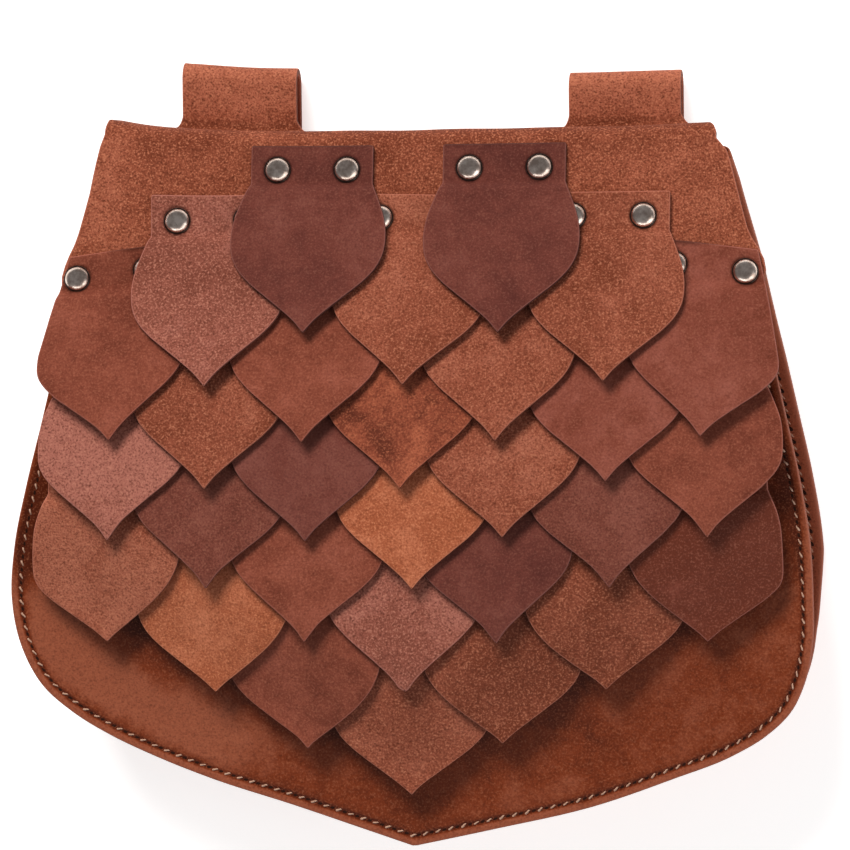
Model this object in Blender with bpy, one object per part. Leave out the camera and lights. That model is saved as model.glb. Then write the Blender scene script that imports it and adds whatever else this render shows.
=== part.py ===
"""Leather belt bag with a flap of overlapping scales, lying on its back.

X runs across the bag, +Y towards the belt loops and +Z out of the front. The origin is on the
flat of the back panel, halfway between the point at the bottom and the fold at the top.

Every wall is cut flat to an outline and then formed. Inside this file a place on the bag is
(x, v, z), with v the height above the bottom point. The flap has a flat pattern of its own,
(x, s), with s measured down the front from the start of the fold, and the scales and their
rivets are laid out on that pattern.
"""
import math

import bpy
import numpy as np
from mathutils import Matrix, Vector
from mathutils.geometry import delaunay_2d_cdt

# Leather
WALL = 0.0022               # panels, gusset, flap and belt loops
SCALE_WALL = 0.0017
GAP = 0.0003                # between leathers that are sewn or riveted together
FLAP_GAP = 0.0006           # between the front panel and the flap that lies on it
LAYER_GAP = 0.00075         # between one row of scales and the next

# Pouch
HALF_WIDTH = 0.120
BODY_HEIGHT = 0.213         # bottom point to the top of the fold
POUCH_DEPTH = 0.038         # back of the bag to the front seam, lower half
MOUTH_ROOM = 0.014          # inside depth at the mouth
MOUTH_DROP = 0.010          # front panel's top edge below the fold
BACK_TOP_DROP = 0.006       # back panel's top edge below the fold
SWELL = 0.007               # how far the front stands out between its seams
SEAM_RUN = 0.040            # distance over which the front rises from its seam
FLANGE = 0.008              # gusset edge turned out for sewing
GUSSET_BELLY = 0.0035

# Flap and fold
FRONT_FOLD_RADIUS = 0.006
BACK_FOLD_RADIUS = 0.0045
TURN_OVER = 0.0105          # flap edge sewn down behind the back panel
FOLD_END_RISE = (0.0051, 0.0012)  # how much its left and right ends stand above its middle
FOLD_TAPER = 0.003          # how much narrower each end of the turned-over edge is cut
FLAP_HEM = 0.007            # flap leather below the last rivets of a column

# Belt loops
BELT_ROOM = 0.0048          # between the loop's back strap and the turned-over edge
LOOP_STEP = 0.0035          # loop's face in front of the turned-over edge
CREASE_RADIUS = 0.002
LOOP_SLOT = 0.006           # cut beside the foot of each loop
FLARE_WIDTH = 0.0045        # how much each side of a loop widens at its foot
FLARE_HEIGHT = 0.008

# Scales
SCALE_LENGTH = 0.057
SCALE_WIDTH = 0.0466
FIRST_ROW_DROP = 0.0003     # first row's top edge below the start of the fold
LAST_TIP = 0.0171           # last row's tip above the bottom point
EDGE_INSET = 0.0082         # outer columns' widest point inside the pouch's widest point
STEP_RUN = 0.0022           # over which a scale steps up, below its rivets, over the next row
TURN_ROOM = 0.0009          # how far a turned scale's corner may reach above its row
ROW_SAG = 0.0026            # how far the rows hang lower at the sides of the flap
DROOP = 0.0075              # how far the lowest tips bend in below the flap's hem

# Rivets
RIVET_SPAN = 0.0209         # between the two rivets of a scale
CAP_RADIUS = 0.00385
CAP_HEIGHT = 0.00095
CAP_SEAT = 0.0004
CAP_ROOM = 0.0006           # between a cap and the step below it, for scales that are turned
SHANK_RADIUS = 0.0015
HOLE_CLEARANCE = 0.0003
RIVET_SIDES = 10
RIVETED_ROWS = (1, 2, 3)

# Shares of the mouth's height, and of the swell, at which the pouch changes shape.
SEWN_STRAP = (0.775, 0.845)  # the straps' sewn ends
STRAP_RUN = 0.080           # below which the back panel steps off the straps
BELT_RUN = 0.115            # and above which it steps off the belt
SEAM_FALL = 0.45            # where the front seam starts to fall towards the mouth
SWELL_TOP = (0.985, 0.505)  # where the swell starts below the mouth, and where it is full
SWELL_BOTTOM = (0.05, 0.45)  # where it starts above the bottom point, and where it is full
TIP_SWELL = 0.40            # share of the swell that is left at the bottom point
SIDE_FALL = 0.85            # share of it that is lost at the sides
END_RISE_FROM = 0.88        # where the flap starts to rise towards the ends of the fold
SAG_FROM = 0.60             # share of half the width at which the rows start to sag

MOUTH = BODY_HEIGHT - MOUTH_DROP
TIP_Y = -BODY_HEIGHT / 2
BACK_LIFT = WALL + BELT_ROOM + WALL + GAP
MOUTH_Z = BACK_LIFT + WALL + MOUTH_ROOM
FLAP_TO_PANEL = WALL + FLAP_GAP + WALL
CAP_TOP = SCALE_WALL + CAP_SEAT + CAP_HEIGHT
COLUMN_PITCH = (HALF_WIDTH - EDGE_INSET - SCALE_WIDTH / 2) / 3

# Edge of the front panel from mouth to bottom point.
PANEL_EDGE = (
    # height of mouth, left and right shares of half width
    (1.000, 0.783, 0.790),
    (0.813, 0.855, 0.861),
    (0.626, 0.927, 0.931),
    (0.532, 0.967, 0.965),
    (0.443, 0.999, 0.988),
    (0.365, 1.008, 0.994),
    (0.296, 0.986, 0.992),
    (0.236, 0.932, 0.970),
    (0.197, 0.857, 0.938),
    (0.163, 0.762, 0.879),
    (0.133, 0.654, 0.794),
    (0.099, 0.508, 0.646),
    (0.059, 0.296, 0.450),
    (0.025, 0.125, 0.200),
    (0.000, 0.000, 0.000),
)

# How far the back panel is cut outside the front panel.
BACK_MARGIN = (
    # share of the mouth's height, margin
    (1.03, -0.0006),
    (0.97, 0.0006),
    (0.85, 0.0012),
    (0.42, 0.0012),
    (0.30, -0.0014),
    (0.00, -0.0014),
)

# How far the flap, and the scales at its sides, reach past the front panel's edge.
FLAP_SIDE = (
    # share of body height, left, right
    (1.000, 0.0003, -0.0012),
    (0.950, 0.0002, 0.0003),
    (0.900, 0.0003, 0.0008),
    (0.850, 0.0016, 0.0014),
    (0.820, 0.0032, 0.0049),
    (0.740, 0.0038, 0.0042),
    (0.685, 0.0040, 0.0030),
    (0.555, 0.0005, 0.0005),
    (0.000, 0.0005, 0.0005),
)

# Half of a scale's outline, from the middle of its top edge to its tip.
SCALE_EDGE = (
    # share of length, share of half width
    (0.000, 0.790),
    (0.200, 0.790),
    (0.290, 0.880),
    (0.400, 0.970),
    (0.510, 1.000),
    (0.595, 0.970),
    (0.665, 0.885),
    (0.730, 0.745),
    (0.800, 0.535),
    (0.870, 0.315),
    (0.940, 0.125),
    (1.000, 0.000),
)

# Belt loops, as cut by hand.
LOOPS = (
    # name, centre x, width, rise above the fold, top slope in degrees
    ("left", -0.0547, 0.0350, 0.0196, -1.0),
    ("right", 0.0624, 0.0338, 0.0166, -0.2),
)

# Each scale's dye, and how its place, turn and length differ from the pattern, as cut by hand.
SCALES = (
    # row, column, dye, sideways shift, turn in degrees, extra length
    (1, 2, "plum", 0.0004, 0.0, 0.0018),
    (1, 4, "plum", -0.0009, 0.0, 0.0024),
    (2, 1, "rosy", -0.0001, -1.2, 0.0020),
    (2, 3, "tan", 0.0022, 1.6, 0.0022),
    (2, 5, "tan", 0.0007, 0.4, 0.0015),
    (3, 0, "russet", -0.0006, -3.0, 0.0015),
    (3, 2, "russet", 0.0007, 0.0, 0.0031),
    (3, 4, "tan", -0.0015, 0.0, 0.0031),
    (3, 6, "red", 0.0014, 2.9, 0.0014),
    (4, 1, "tan", 0.0013, 0.0, 0.0008),
    (4, 3, "mottled", 0.0001, 0.0, 0.0009),
    (4, 5, "red", 0.0009, 0.0, -0.0007),
    (5, 0, "rosy", 0.0019, 0.0, -0.0018),
    (5, 2, "plum", 0.0015, 0.0, 0.0006),
    (5, 4, "tan", 0.0003, 0.0, -0.0002),
    (5, 6, "rosy", -0.0002, 0.0, -0.0021),
    (6, 1, "wine", 0.0019, 0.0, -0.0024),
    (6, 3, "amber", 0.0032, 0.0, -0.0008),
    (6, 5, "wine", 0.0008, 0.0, -0.0024),
    (7, 0, "tan", -0.0008, 0.0, -0.0007),
    (7, 2, "russet", 0.0013, 0.0, -0.0020),
    (7, 4, "plum", -0.0027, 0.0, -0.0015),
    (7, 6, "red", -0.0002, 0.0, -0.0003),
    (8, 1, "amber", 0.0024, 0.0, -0.0009),
    (8, 3, "rosy", 0.0002, 0.0, -0.0026),
    (8, 5, "tan", -0.0006, 0.0, -0.0013),
    (9, 2, "red", -0.0003, 0.0, 0.0017),
    (9, 4, "russet", -0.0017, 0.0, -0.0003),
    (10, 3, "russet", 0.0009, 0.0, 0.0007),
)

DYES = {
    # name: colour, roughness
    "body": ((0.30, 0.090, 0.038, 1), 0.72),
    "flap": ((0.34, 0.105, 0.048, 1), 0.85),
    "plum": ((0.13, 0.042, 0.030, 1), 0.75),
    "wine": ((0.19, 0.060, 0.038, 1), 0.80),
    "rosy": ((0.30, 0.110, 0.068, 1), 0.85),
    "red": ((0.25, 0.068, 0.035, 1), 0.78),
    "russet": ((0.31, 0.088, 0.042, 1), 0.80),
    "tan": ((0.38, 0.125, 0.055, 1), 0.85),
    "amber": ((0.48, 0.165, 0.062, 1), 0.85),
    "mottled": ((0.40, 0.120, 0.042, 1), 0.80),
}

# How finely the curves are faceted.
STATIONS_PER_SIDE = 18      # round the lower part; above it there is one at each bend of the back
BEND_STEPS = 4
FRONT_STEPS = 70
HOLE_SIDES = 8

# Heights, as shares of the mouth's, at which the back panel bends.
BACK_BENDS = (
    *np.linspace(SEWN_STRAP[0] - STRAP_RUN, SEWN_STRAP[0], BEND_STEPS + 1).tolist(),
    *np.linspace(SEWN_STRAP[1], SEWN_STRAP[1] + BELT_RUN, 2 * BEND_STEPS + 1).tolist(),
)


def smooth(value, start, end):
    """0 at the start, 1 at the end, either of which may be the higher, and an S curve between."""
    t = min(max((value - start) / (end - start), 0.0), 1.0)
    return t * t * (3 - 2 * t)


def through(points, steps):
    """A smooth curve through the points, with steps pieces between each two."""
    points = np.array(points, float)
    chords = np.linalg.norm(np.diff(points, axis=0), axis=1)
    slopes = np.diff(points, axis=0) / chords[:, None]
    tangents = np.empty_like(points)
    tangents[0], tangents[-1] = slopes[0], slopes[-1]
    tangents[1:-1] = (slopes[:-1] * chords[1:, None] + slopes[1:] * chords[:-1, None])
    tangents[1:-1] /= (chords[:-1] + chords[1:])[:, None]
    curve = []
    for i, chord in enumerate(chords):
        for t in np.linspace(0, 1, steps, endpoint=False):
            curve.append(
                (2 * t**3 - 3 * t**2 + 1) * points[i]
                + (t**3 - 2 * t**2 + t) * chord * tangents[i]
                + (3 * t**2 - 2 * t**3) * points[i + 1]
                + (t**3 - t**2) * chord * tangents[i + 1]
            )
    return np.array(curve + [points[-1]])


def lengths_along(curve):
    return np.concatenate([[0], np.cumsum(np.linalg.norm(np.diff(curve, axis=0), axis=1))])


def back_z(v):
    """Rear face of the back panel: flat, off the straps where they are sewn, then off the belt."""
    sewn, free = SEWN_STRAP
    off_strap = (WALL + GAP) * smooth(v / MOUTH, sewn - STRAP_RUN, sewn)
    off_belt = (BELT_ROOM + WALL) * smooth(v / MOUTH, free, free + BELT_RUN)
    return off_strap + off_belt


def seam_z(v):
    """Rear face of the front panel at its seam."""
    above = max(v / MOUTH - SEAM_FALL, 0.0) / (1 - SEAM_FALL)
    return POUCH_DEPTH - (POUCH_DEPTH - MOUTH_Z) * above**2


def swell(x, v):
    """How far the front stands out, were it not held by its seam."""
    lift = smooth(v / MOUTH, *SWELL_TOP)
    lift *= TIP_SWELL + (1 - TIP_SWELL) * smooth(v / MOUTH, *SWELL_BOTTOM)
    return SWELL * lift * (1 - SIDE_FALL * (x / HALF_WIDTH) ** 2)


def panel_side(side):
    """Edge of the front panel on one side, -1 or +1, from the mouth to the bottom point."""
    share = 1 if side < 0 else 2
    rows = [(side * row[share] * HALF_WIDTH, row[0] * MOUTH) for row in PANEL_EDGE]
    return through(rows, 8)


SIDES = {side: panel_side(side) for side in (-1, 1)}


def panel_edge_x(side, v):
    """How far out the edge of the front panel is at height v, carried straight on above the mouth."""
    curve = SIDES[side][::-1]
    if v > MOUTH:
        (x0, v0), (x1, v1) = curve[-9], curve[-1]
        return x1 + (v - v1) * (x1 - x0) / (v1 - v0)
    widest = np.argmax(np.abs(curve[:, 0]))
    return float(np.interp(v, curve[widest:, 1], curve[widest:, 0]))


def back_margin(v):
    heights, margins = zip(*BACK_MARGIN[::-1])
    return np.interp(v / MOUTH, heights, margins)


def seam_route():
    """Stations along the seam from mouth to mouth: points, and outward normals, in (x, v)."""
    points, normals = [], []
    for side in (-1, 1):
        curve = SIDES[side]
        along = lengths_along(curve)
        at = np.interp([-share * MOUTH for share in (1.0, *BACK_BENDS[::-1])], -curve[:, 1], along)
        at = np.append(at, np.linspace(at[-1], along[-1], STATIONS_PER_SIDE + 1)[1:])
        here = np.stack([np.interp(at, along, curve[:, i]) for i in (0, 1)], axis=1)
        run = np.gradient(curve, along, axis=0)
        step = np.stack([np.interp(at, along, run[:, i]) for i in (0, 1)], axis=1)
        step /= np.linalg.norm(step, axis=1)[:, None]
        out = np.stack([step[:, 1], -step[:, 0]], axis=1) * side * -1
        points.append(here)
        normals.append(out)
    tip_normal = normals[0][-1] + normals[1][-1]
    tip_normal /= 1 + normals[0][-1] @ normals[1][-1]
    points = np.concatenate([points[0], points[1][-2::-1]])
    normals = np.concatenate([normals[0][:-1], [tip_normal], normals[1][-2::-1]])
    return points, normals


def inside(outline, point):
    """Whether a point of the flat pattern lies within an outline."""
    x, y = point
    a, b = outline, np.roll(outline, -1, axis=0)
    crosses = (a[:, 1] > y) != (b[:, 1] > y)
    with np.errstate(divide="ignore", invalid="ignore"):
        at = a[:, 0] + (y - a[:, 1]) * (b[:, 0] - a[:, 0]) / (b[:, 1] - a[:, 1])
    return bool(np.count_nonzero(crosses & (x < at)) % 2)


def edge_distance(outline, point):
    """Distance from a point to the nearest stretch of an open or closed line."""
    a, b = outline[:-1], outline[1:]
    run = b - a
    t = np.clip(((point - a) * run).sum(axis=1) / (run**2).sum(axis=1), 0, 1)
    return float(np.linalg.norm(a + t[:, None] * run - point, axis=1).min())


def material(name, colour, roughness, metallic=0.0):
    made = bpy.data.materials.get(name) or bpy.data.materials.new(name)
    made.use_nodes = True
    shader = made.node_tree.nodes["Principled BSDF"]
    shader.inputs["Base Color"].default_value = colour
    shader.inputs["Roughness"].default_value = roughness
    shader.inputs["Metallic"].default_value = metallic
    return made


def leather(dye):
    return material(f"leather_{dye}", *DYES[dye])


def add_piece(name, points, faces, finish):
    mesh = bpy.data.meshes.new(name)
    mesh.from_pydata([Vector(p) for p in points], [], faces)
    mesh.validate()
    mesh.materials.append(finish)
    piece = bpy.data.objects.new(name, mesh)
    bpy.context.scene.collection.objects.link(piece)
    mesh.shade_smooth()
    mesh.set_sharp_from_angle(angle=math.radians(40))
    return piece


def formed_sheet(name, outline, form, wall, finish, holes=(), creases=()):
    """A wall cut flat and then formed.

    The outline, the holes (centre, radius) and the creases (lines along which the sheet bends)
    lie in the flat pattern, and form(x, y, h) gives the place of the point that is h above the
    sheet's inner face.
    """
    outline = np.array(outline, float)
    flat = [Vector(p) for p in outline]
    edges = [(i, (i + 1) % len(outline)) for i in range(len(outline))]
    for centre, radius in holes:
        first = len(flat)
        for k in range(HOLE_SIDES):
            turn = 2 * math.pi * (k + 0.5) / HOLE_SIDES
            flat.append(Vector(centre) + radius * Vector((math.cos(turn), math.sin(turn))))
            edges.append((first + k, first + (k + 1) % HOLE_SIDES))
    for line in creases:
        first = len(flat)
        flat += [Vector(p) for p in line]
        edges += [(first + k, first + k + 1) for k in range(len(line) - 1)]
    cut, _, triangles, *_ = delaunay_2d_cdt(flat, edges, [], 0, 1e-7)
    kept = []
    for triangle in triangles:
        middle = sum((cut[i] for i in triangle), Vector((0, 0))) / 3
        in_hole = any((middle - Vector(centre)).length < 0.9 * radius for centre, radius in holes)
        if inside(outline, middle) and not in_hole:
            kept.append(triangle)
    used = sorted({i for triangle in kept for i in triangle})
    number = {old: new for new, old in enumerate(used)}
    count = len(used)
    points = [form(*cut[i], 0.0) for i in used] + [form(*cut[i], wall) for i in used]
    top = [[number[i] + count for i in triangle] for triangle in kept]
    bottom = [[number[i] for i in reversed(triangle)] for triangle in kept]
    directed = {(a, b) for t in kept for a, b in zip(t, t[1:] + t[:1])}
    rim = [
        (number[a], number[b], number[b] + count, number[a] + count)
        for a, b in sorted(directed)
        if (b, a) not in directed
    ]
    return add_piece(name, points, top + bottom + rim, finish)


def on_bag(x, v, z):
    return (x, v + TIP_Y, z)


def level_line(v, half, step):
    """Points across the bag at one height, for a crease."""
    return [(x, v) for x in np.linspace(-half, half, max(2, round(2 * half / step)))]


def back_panel():
    route, normals = seam_route()
    route = route + back_margin(route[:, 1])[:, None] * normals
    top = BODY_HEIGHT - BACK_TOP_DROP
    corners = [(panel_edge_x(side, top) + side * back_margin(top), top) for side in (1, -1)]
    wide = 1.1 * HALF_WIDTH
    creases = [[(-wide, share * MOUTH), (wide, share * MOUTH)] for share in BACK_BENDS]

    def form(x, v, h):
        return on_bag(x, v, back_z(v) + h)

    formed_sheet("back_panel", list(route) + corners, form, WALL, leather("body"), creases=creases)


def front_panel():
    route, _ = seam_route()
    rows = np.linspace(0.08, 0.97, 13) * MOUTH
    creases = [level_line(v, 1.05 * HALF_WIDTH, 0.019) for v in rows]

    def form(x, v, h):
        held = smooth(edge_distance(route, np.array([x, v])), FLANGE, FLANGE + SEAM_RUN)
        return on_bag(x, v, seam_z(v) + h + held * swell(x, v))

    formed_sheet("front_panel", route, form, WALL, leather("body"), creases=creases)


def gusset_section(v):
    """Middle of the gusset's wall as (outward, z): back flange, bellied side, front flange."""
    low = back_z(v) + WALL + GAP + WALL / 2
    high = seam_z(v) - GAP - WALL / 2
    wall = -FLANGE
    shape = (
        # outward, share of depth
        (back_margin(v), 0.0),
        (0.80 * wall, 0.0),
        (wall + 0.10 * GUSSET_BELLY, 0.07),
        (wall + 0.65 * GUSSET_BELLY, 0.25),
        (wall + GUSSET_BELLY, 0.5),
        (wall + 0.65 * GUSSET_BELLY, 0.75),
        (wall + 0.10 * GUSSET_BELLY, 0.93),
        (0.80 * wall, 1.0),
        (0.0, 1.0),
    )
    return np.array([(out, low + share * (high - low)) for out, share in shape])


def gusset():
    """The strip round both sides and the bottom, lofted through its section at each station."""
    route, normals = seam_route()
    points, faces = [], []
    for place, out in zip(route, normals):
        middle = gusset_section(place[1])
        run = np.gradient(middle, axis=0)
        run /= np.linalg.norm(run, axis=1)[:, None]
        across = np.stack([-run[:, 1], run[:, 0]], axis=1) * WALL / 2
        ring = np.concatenate([middle + across, (middle - across)[::-1]])
        points += [on_bag(*(place + n * out), z) for n, z in ring]
    size = len(points) // len(route)
    for i in range(len(route) - 1):
        for k in range(size):
            a, b = i * size + k, i * size + (k + 1) % size
            faces.append((a, b, b + size, a + size))
    half = size // 2
    for first, turned in ((0, False), (len(points) - size, True)):
        for k in range(half - 1):
            cap = (first + k, first + size - 1 - k, first + size - 2 - k, first + k + 1)
            faces.append(cap[::-1] if turned else cap)
    add_piece("gusset", points, faces, leather("body"))


class Path:
    """A line in the (v, z) plane through straight runs and arcs, read by the length along it."""

    def __init__(self, start, heading):
        self.points = [np.array(start, float)]
        self.heading = heading
        self.bends = []

    def length(self):
        return float(lengths_along(np.array(self.points))[-1])

    def run(self, distance):
        ahead = np.array([math.cos(self.heading), math.sin(self.heading)])
        self.points.append(self.points[-1] + distance * ahead)
        return self

    def arc(self, radius, turn, steps):
        """Turns by an angle, in equal steps whose chords touch the true arc at their ends."""
        start = self.length()
        chord = 2 * radius * math.sin(abs(turn) / steps / 2)
        for _ in range(steps):
            self.heading += turn / steps / 2
            self.run(chord)
            self.heading += turn / steps / 2
        self.bends += list(np.linspace(start, self.length(), steps + 1))
        return self

    def at(self, s):
        """Point and normal, the normal turned 90 degrees from the heading, blended at the bends."""
        curve = np.array(self.points)
        along = lengths_along(curve)
        steps = np.diff(curve, axis=0)
        steps /= np.linalg.norm(steps, axis=1)[:, None]
        tangents = np.concatenate([steps[:1], steps[:-1] + steps[1:], steps[-1:]])
        tangents[1:-1] /= (1 + (steps[:-1] * steps[1:]).sum(axis=1))[:, None]
        point = np.array([np.interp(s, along, curve[:, i]) for i in (0, 1)])
        tangent = np.array([np.interp(s, along, tangents[:, i]) for i in (0, 1)])
        return point, np.array([-tangent[1], tangent[0]])


QUARTER = math.pi / 2


def face_z(v):
    """Outer face of the flap on the centreline."""
    return seam_z(v) + swell(0, v) + FLAP_TO_PANEL


# How steeply the front falls towards the fold, and the height at which the fold starts.
FALL = math.atan2(face_z(MOUTH) - face_z(MOUTH + FRONT_FOLD_RADIUS), FRONT_FOLD_RADIUS)
FOLD_V = BODY_HEIGHT - FRONT_FOLD_RADIUS * (1 - math.sin(FALL))


def flap_front():
    """The flap's outer face on the centreline, from the start of the fold downwards."""
    path = Path((FOLD_V, face_z(FOLD_V)), -FALL)
    for v in np.linspace(FOLD_V, 0, FRONT_STEPS + 1)[1:]:
        path.points.append(np.array([v, face_z(v)]))
    return path


REAR_FACE_Z = BACK_LIFT - GAP - WALL
LOOP_FACE_Z = REAR_FACE_Z + LOOP_STEP


def fold_path():
    """Over the top of the bag, from the start of the fold to where loops and edge part."""
    path = Path((FOLD_V, face_z(FOLD_V)), -FALL)
    path.arc(FRONT_FOLD_RADIUS, FALL - QUARTER, BEND_STEPS)
    return path.run(path.points[-1][1] - LOOP_FACE_Z - CREASE_RADIUS)


def edge_path():
    """The fold carried on over the back panel's top edge and down behind it."""
    path = fold_path()
    path.run(LOOP_FACE_Z + CREASE_RADIUS - REAR_FACE_Z - BACK_FOLD_RADIUS)
    path.arc(BACK_FOLD_RADIUS, -QUARTER, BEND_STEPS)
    return path.run(TURN_OVER)


def loop_path(rise):
    """The fold carried on up through the crease, over the loop's top and down its back strap."""
    radius = LOOP_FACE_Z / 2
    path = fold_path()
    path.arc(CREASE_RADIUS, QUARTER, BEND_STEPS)
    path.run(rise - CREASE_RADIUS - radius)
    path.arc(radius, -2 * QUARTER, 2 * BEND_STEPS)
    return path.run(BODY_HEIGHT + rise - radius - SEWN_STRAP[0] * MOUTH)


FRONT = flap_front()
PART_AT = fold_path().length()
EDGE = edge_path()
LOOP_PATHS = {name: loop_path(rise) for name, _, _, rise, _ in LOOPS}


def pattern_s(v):
    """Length down the flap's pattern at a height on its front."""
    curve = np.array(FRONT.points)
    return float(np.interp(-v, -curve[:, 0], lengths_along(curve)))


def flap_height(s):
    """Height above the bottom point at a length down the pattern."""
    return FOLD_V - s if s < 0 else float(FRONT.at(s)[0][0])


def end_rise(x):
    """How much the fold rises towards its ends."""
    return FOLD_END_RISE[x > 0] * (x / panel_edge_x(1, MOUTH)) ** 4


def flap_face(x, s):
    """Outer face of the flap, for s down the front or, below 0, over the fold.

    Below the flap's hem it is the face the scales would lie on, which bends in.
    """
    v, z = FRONT.at(s)[0] if s >= 0 else EDGE.at(-s)[0]
    fall = swell(x, v) - swell(0, v) if s >= 0 else 0.0
    fall -= DROOP * smooth(s, hem_s(x), hem_s(x) + SCALE_LENGTH - HEM_BELOW_ROW)
    rise = end_rise(x) * smooth(v / MOUTH, END_RISE_FROM, 1)
    return Vector(on_bag(x, v + rise, z + fall))


def on_flap(x, s, h):
    """Place of the point h above the flap's outer face."""
    near = 0.0002
    across = flap_face(x + near, s) - flap_face(x - near, s)
    upwards = flap_face(x, s - near) - flap_face(x, s + near)
    return flap_face(x, s) + h * across.cross(upwards).normalized()


def on_loop(loop, x, s, h):
    """Place of a point of a belt loop, which takes up its slope on the way up from the fold."""
    name, centre, _, rise, slope = loop
    (v, z), (nv, nz) = LOOP_PATHS[name].at(-s)
    v, z = v + h * nv, z + h * nz
    above = max(v - BODY_HEIGHT, 0.0)
    tilt = math.tan(math.radians(slope)) * (x - centre) * min(above / rise, 1.0)
    return on_bag(x, v + tilt + end_rise(x), z)


def flap_edge_x(side, v):
    """How far out the flap's side is cut at height v."""
    rows = FLAP_SIDE[::-1]
    past = np.interp(v / BODY_HEIGHT, [row[0] for row in rows], [row[1 if side < 0 else 2] for row in rows])
    return panel_edge_x(side, v) + side * float(past)


def scale_rows():
    """Top edge of each row down the pattern, evenly spaced so that the last tip comes out right."""
    first = FIRST_ROW_DROP
    last = pattern_s(LAST_TIP + SCALE_LENGTH)
    rows = max(row for row, *_ in SCALES)
    return {row + 1: first + (last - first) * row / (rows - 1) for row in range(rows)}


ROW_TOPS = scale_rows()
ROW_PITCH = ROW_TOPS[2] - ROW_TOPS[1]
STEP_END = ROW_PITCH - TURN_ROOM - LAYER_GAP / 3
STEP_START = STEP_END - STEP_RUN
RIVET_DROP = STEP_START - CAP_ROOM - CAP_RADIUS
# A row stands off the one below it by its wall, and clears the caps of that row.
LAYER = max(SCALE_WALL + LAYER_GAP, CAP_TOP / (1 + (RIVET_DROP - CAP_RADIUS) / ROW_PITCH))
LAST_ROWS = {column: max(row for row, c, *_ in SCALES if c == column) for column in (0, 3)}
HEM_BELOW_ROW = RIVET_DROP + CAP_RADIUS + FLAP_HEM


def row_sag(x):
    """How much lower than in the middle the rows hang at x."""
    return ROW_SAG * smooth(abs(x) / HALF_WIDTH, SAG_FROM, 1)


def hem_s(x):
    """Length down the pattern to the flap's lower edge, a V below the last rivets of each column."""
    middle, side = ROW_TOPS[LAST_ROWS[3]], ROW_TOPS[LAST_ROWS[0]]
    level = middle + HEM_BELOW_ROW - (middle - side) * abs(x) / (3 * COLUMN_PITCH)
    return level + row_sag(x)


def layer_height(drop):
    """Inner face of a scale above the flap, at a distance below its row's top edge.

    It is flat under the rivets, steps up over the next row's top edge and then climbs by one
    layer for each row, so that two rows keep the same distance wherever they cross.
    """
    if drop >= STEP_END:
        return GAP + LAYER * drop / ROW_PITCH
    step = max(drop - STEP_START, 0) / (STEP_END - STEP_START)
    return GAP + LAYER * STEP_END / ROW_PITCH * step


def rivet_places(row, column, shift, turn):
    """Where a scale's two rivets lie, before the rows sag."""
    x = (column - 3) * COLUMN_PITCH + shift
    s = ROW_TOPS[row] + RIVET_DROP
    across = math.cos(math.radians(turn)) * RIVET_SPAN / 2
    down = math.sin(math.radians(turn)) * RIVET_SPAN / 2
    return [(x - across, s - down), (x + across, s + down)]


def all_rivets():
    return [
        (row, column, side, place)
        for row, column, _, shift, turn, _ in SCALES
        if row in RIVETED_ROWS
        for side, place in zip(("left", "right"), rivet_places(row, column, shift, turn))
    ]


def flap_outline():
    """The flap's flat pattern with its belt loops, as (x, -s), clockwise from its lowest point."""
    turned = EDGE.length()
    tab = SCALE_EDGE[0][1] * SCALE_WIDTH / 2
    hidden = 3 * COLUMN_PITCH + tab - FLAP_GAP - SCALE_WALL
    line = [(0.0, -hem_s(0))]
    for side in (-1, 1):
        half = [(side * hidden, -hem_s(hidden))]
        half.append((side * hidden, -pattern_s(0.70 * BODY_HEIGHT)))
        for share in (0.80, 0.82, 0.85, 0.90, 0.95):
            v = share * BODY_HEIGHT
            half.append((flap_edge_x(side, v), -pattern_s(v)))
        top = flap_edge_x(side, BODY_HEIGHT)
        half += [(top, 0.0), (top - side * FOLD_TAPER, turned)]
        line = line + half if side < 0 else line + loops_outline(turned) + half[::-1]
    return line


def loops_outline(edge_end):
    """Top of the flap's pattern from left to right: edge, slot, loop, slot, edge and so on."""
    line = []
    for name, centre, width, *_ in LOOPS:
        end = LOOP_PATHS[name].length()
        foot = PART_AT - WALL / 4
        for side in (-1, 1):
            out = centre + side * (width / 2 + LOOP_SLOT)
            slot = [(out, edge_end), (out, foot)]
            for t in (0.0, 0.2, 0.45, 0.7, 1.0):
                flare = FLARE_WIDTH * (1 - t) ** 1.6
                slot.append((centre + side * (width / 2 + flare), foot + FLARE_HEIGHT * t))
            slot.append((centre + side * width / 2, end))
            line += slot if side < 0 else slot[::-1]
    return line


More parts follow.
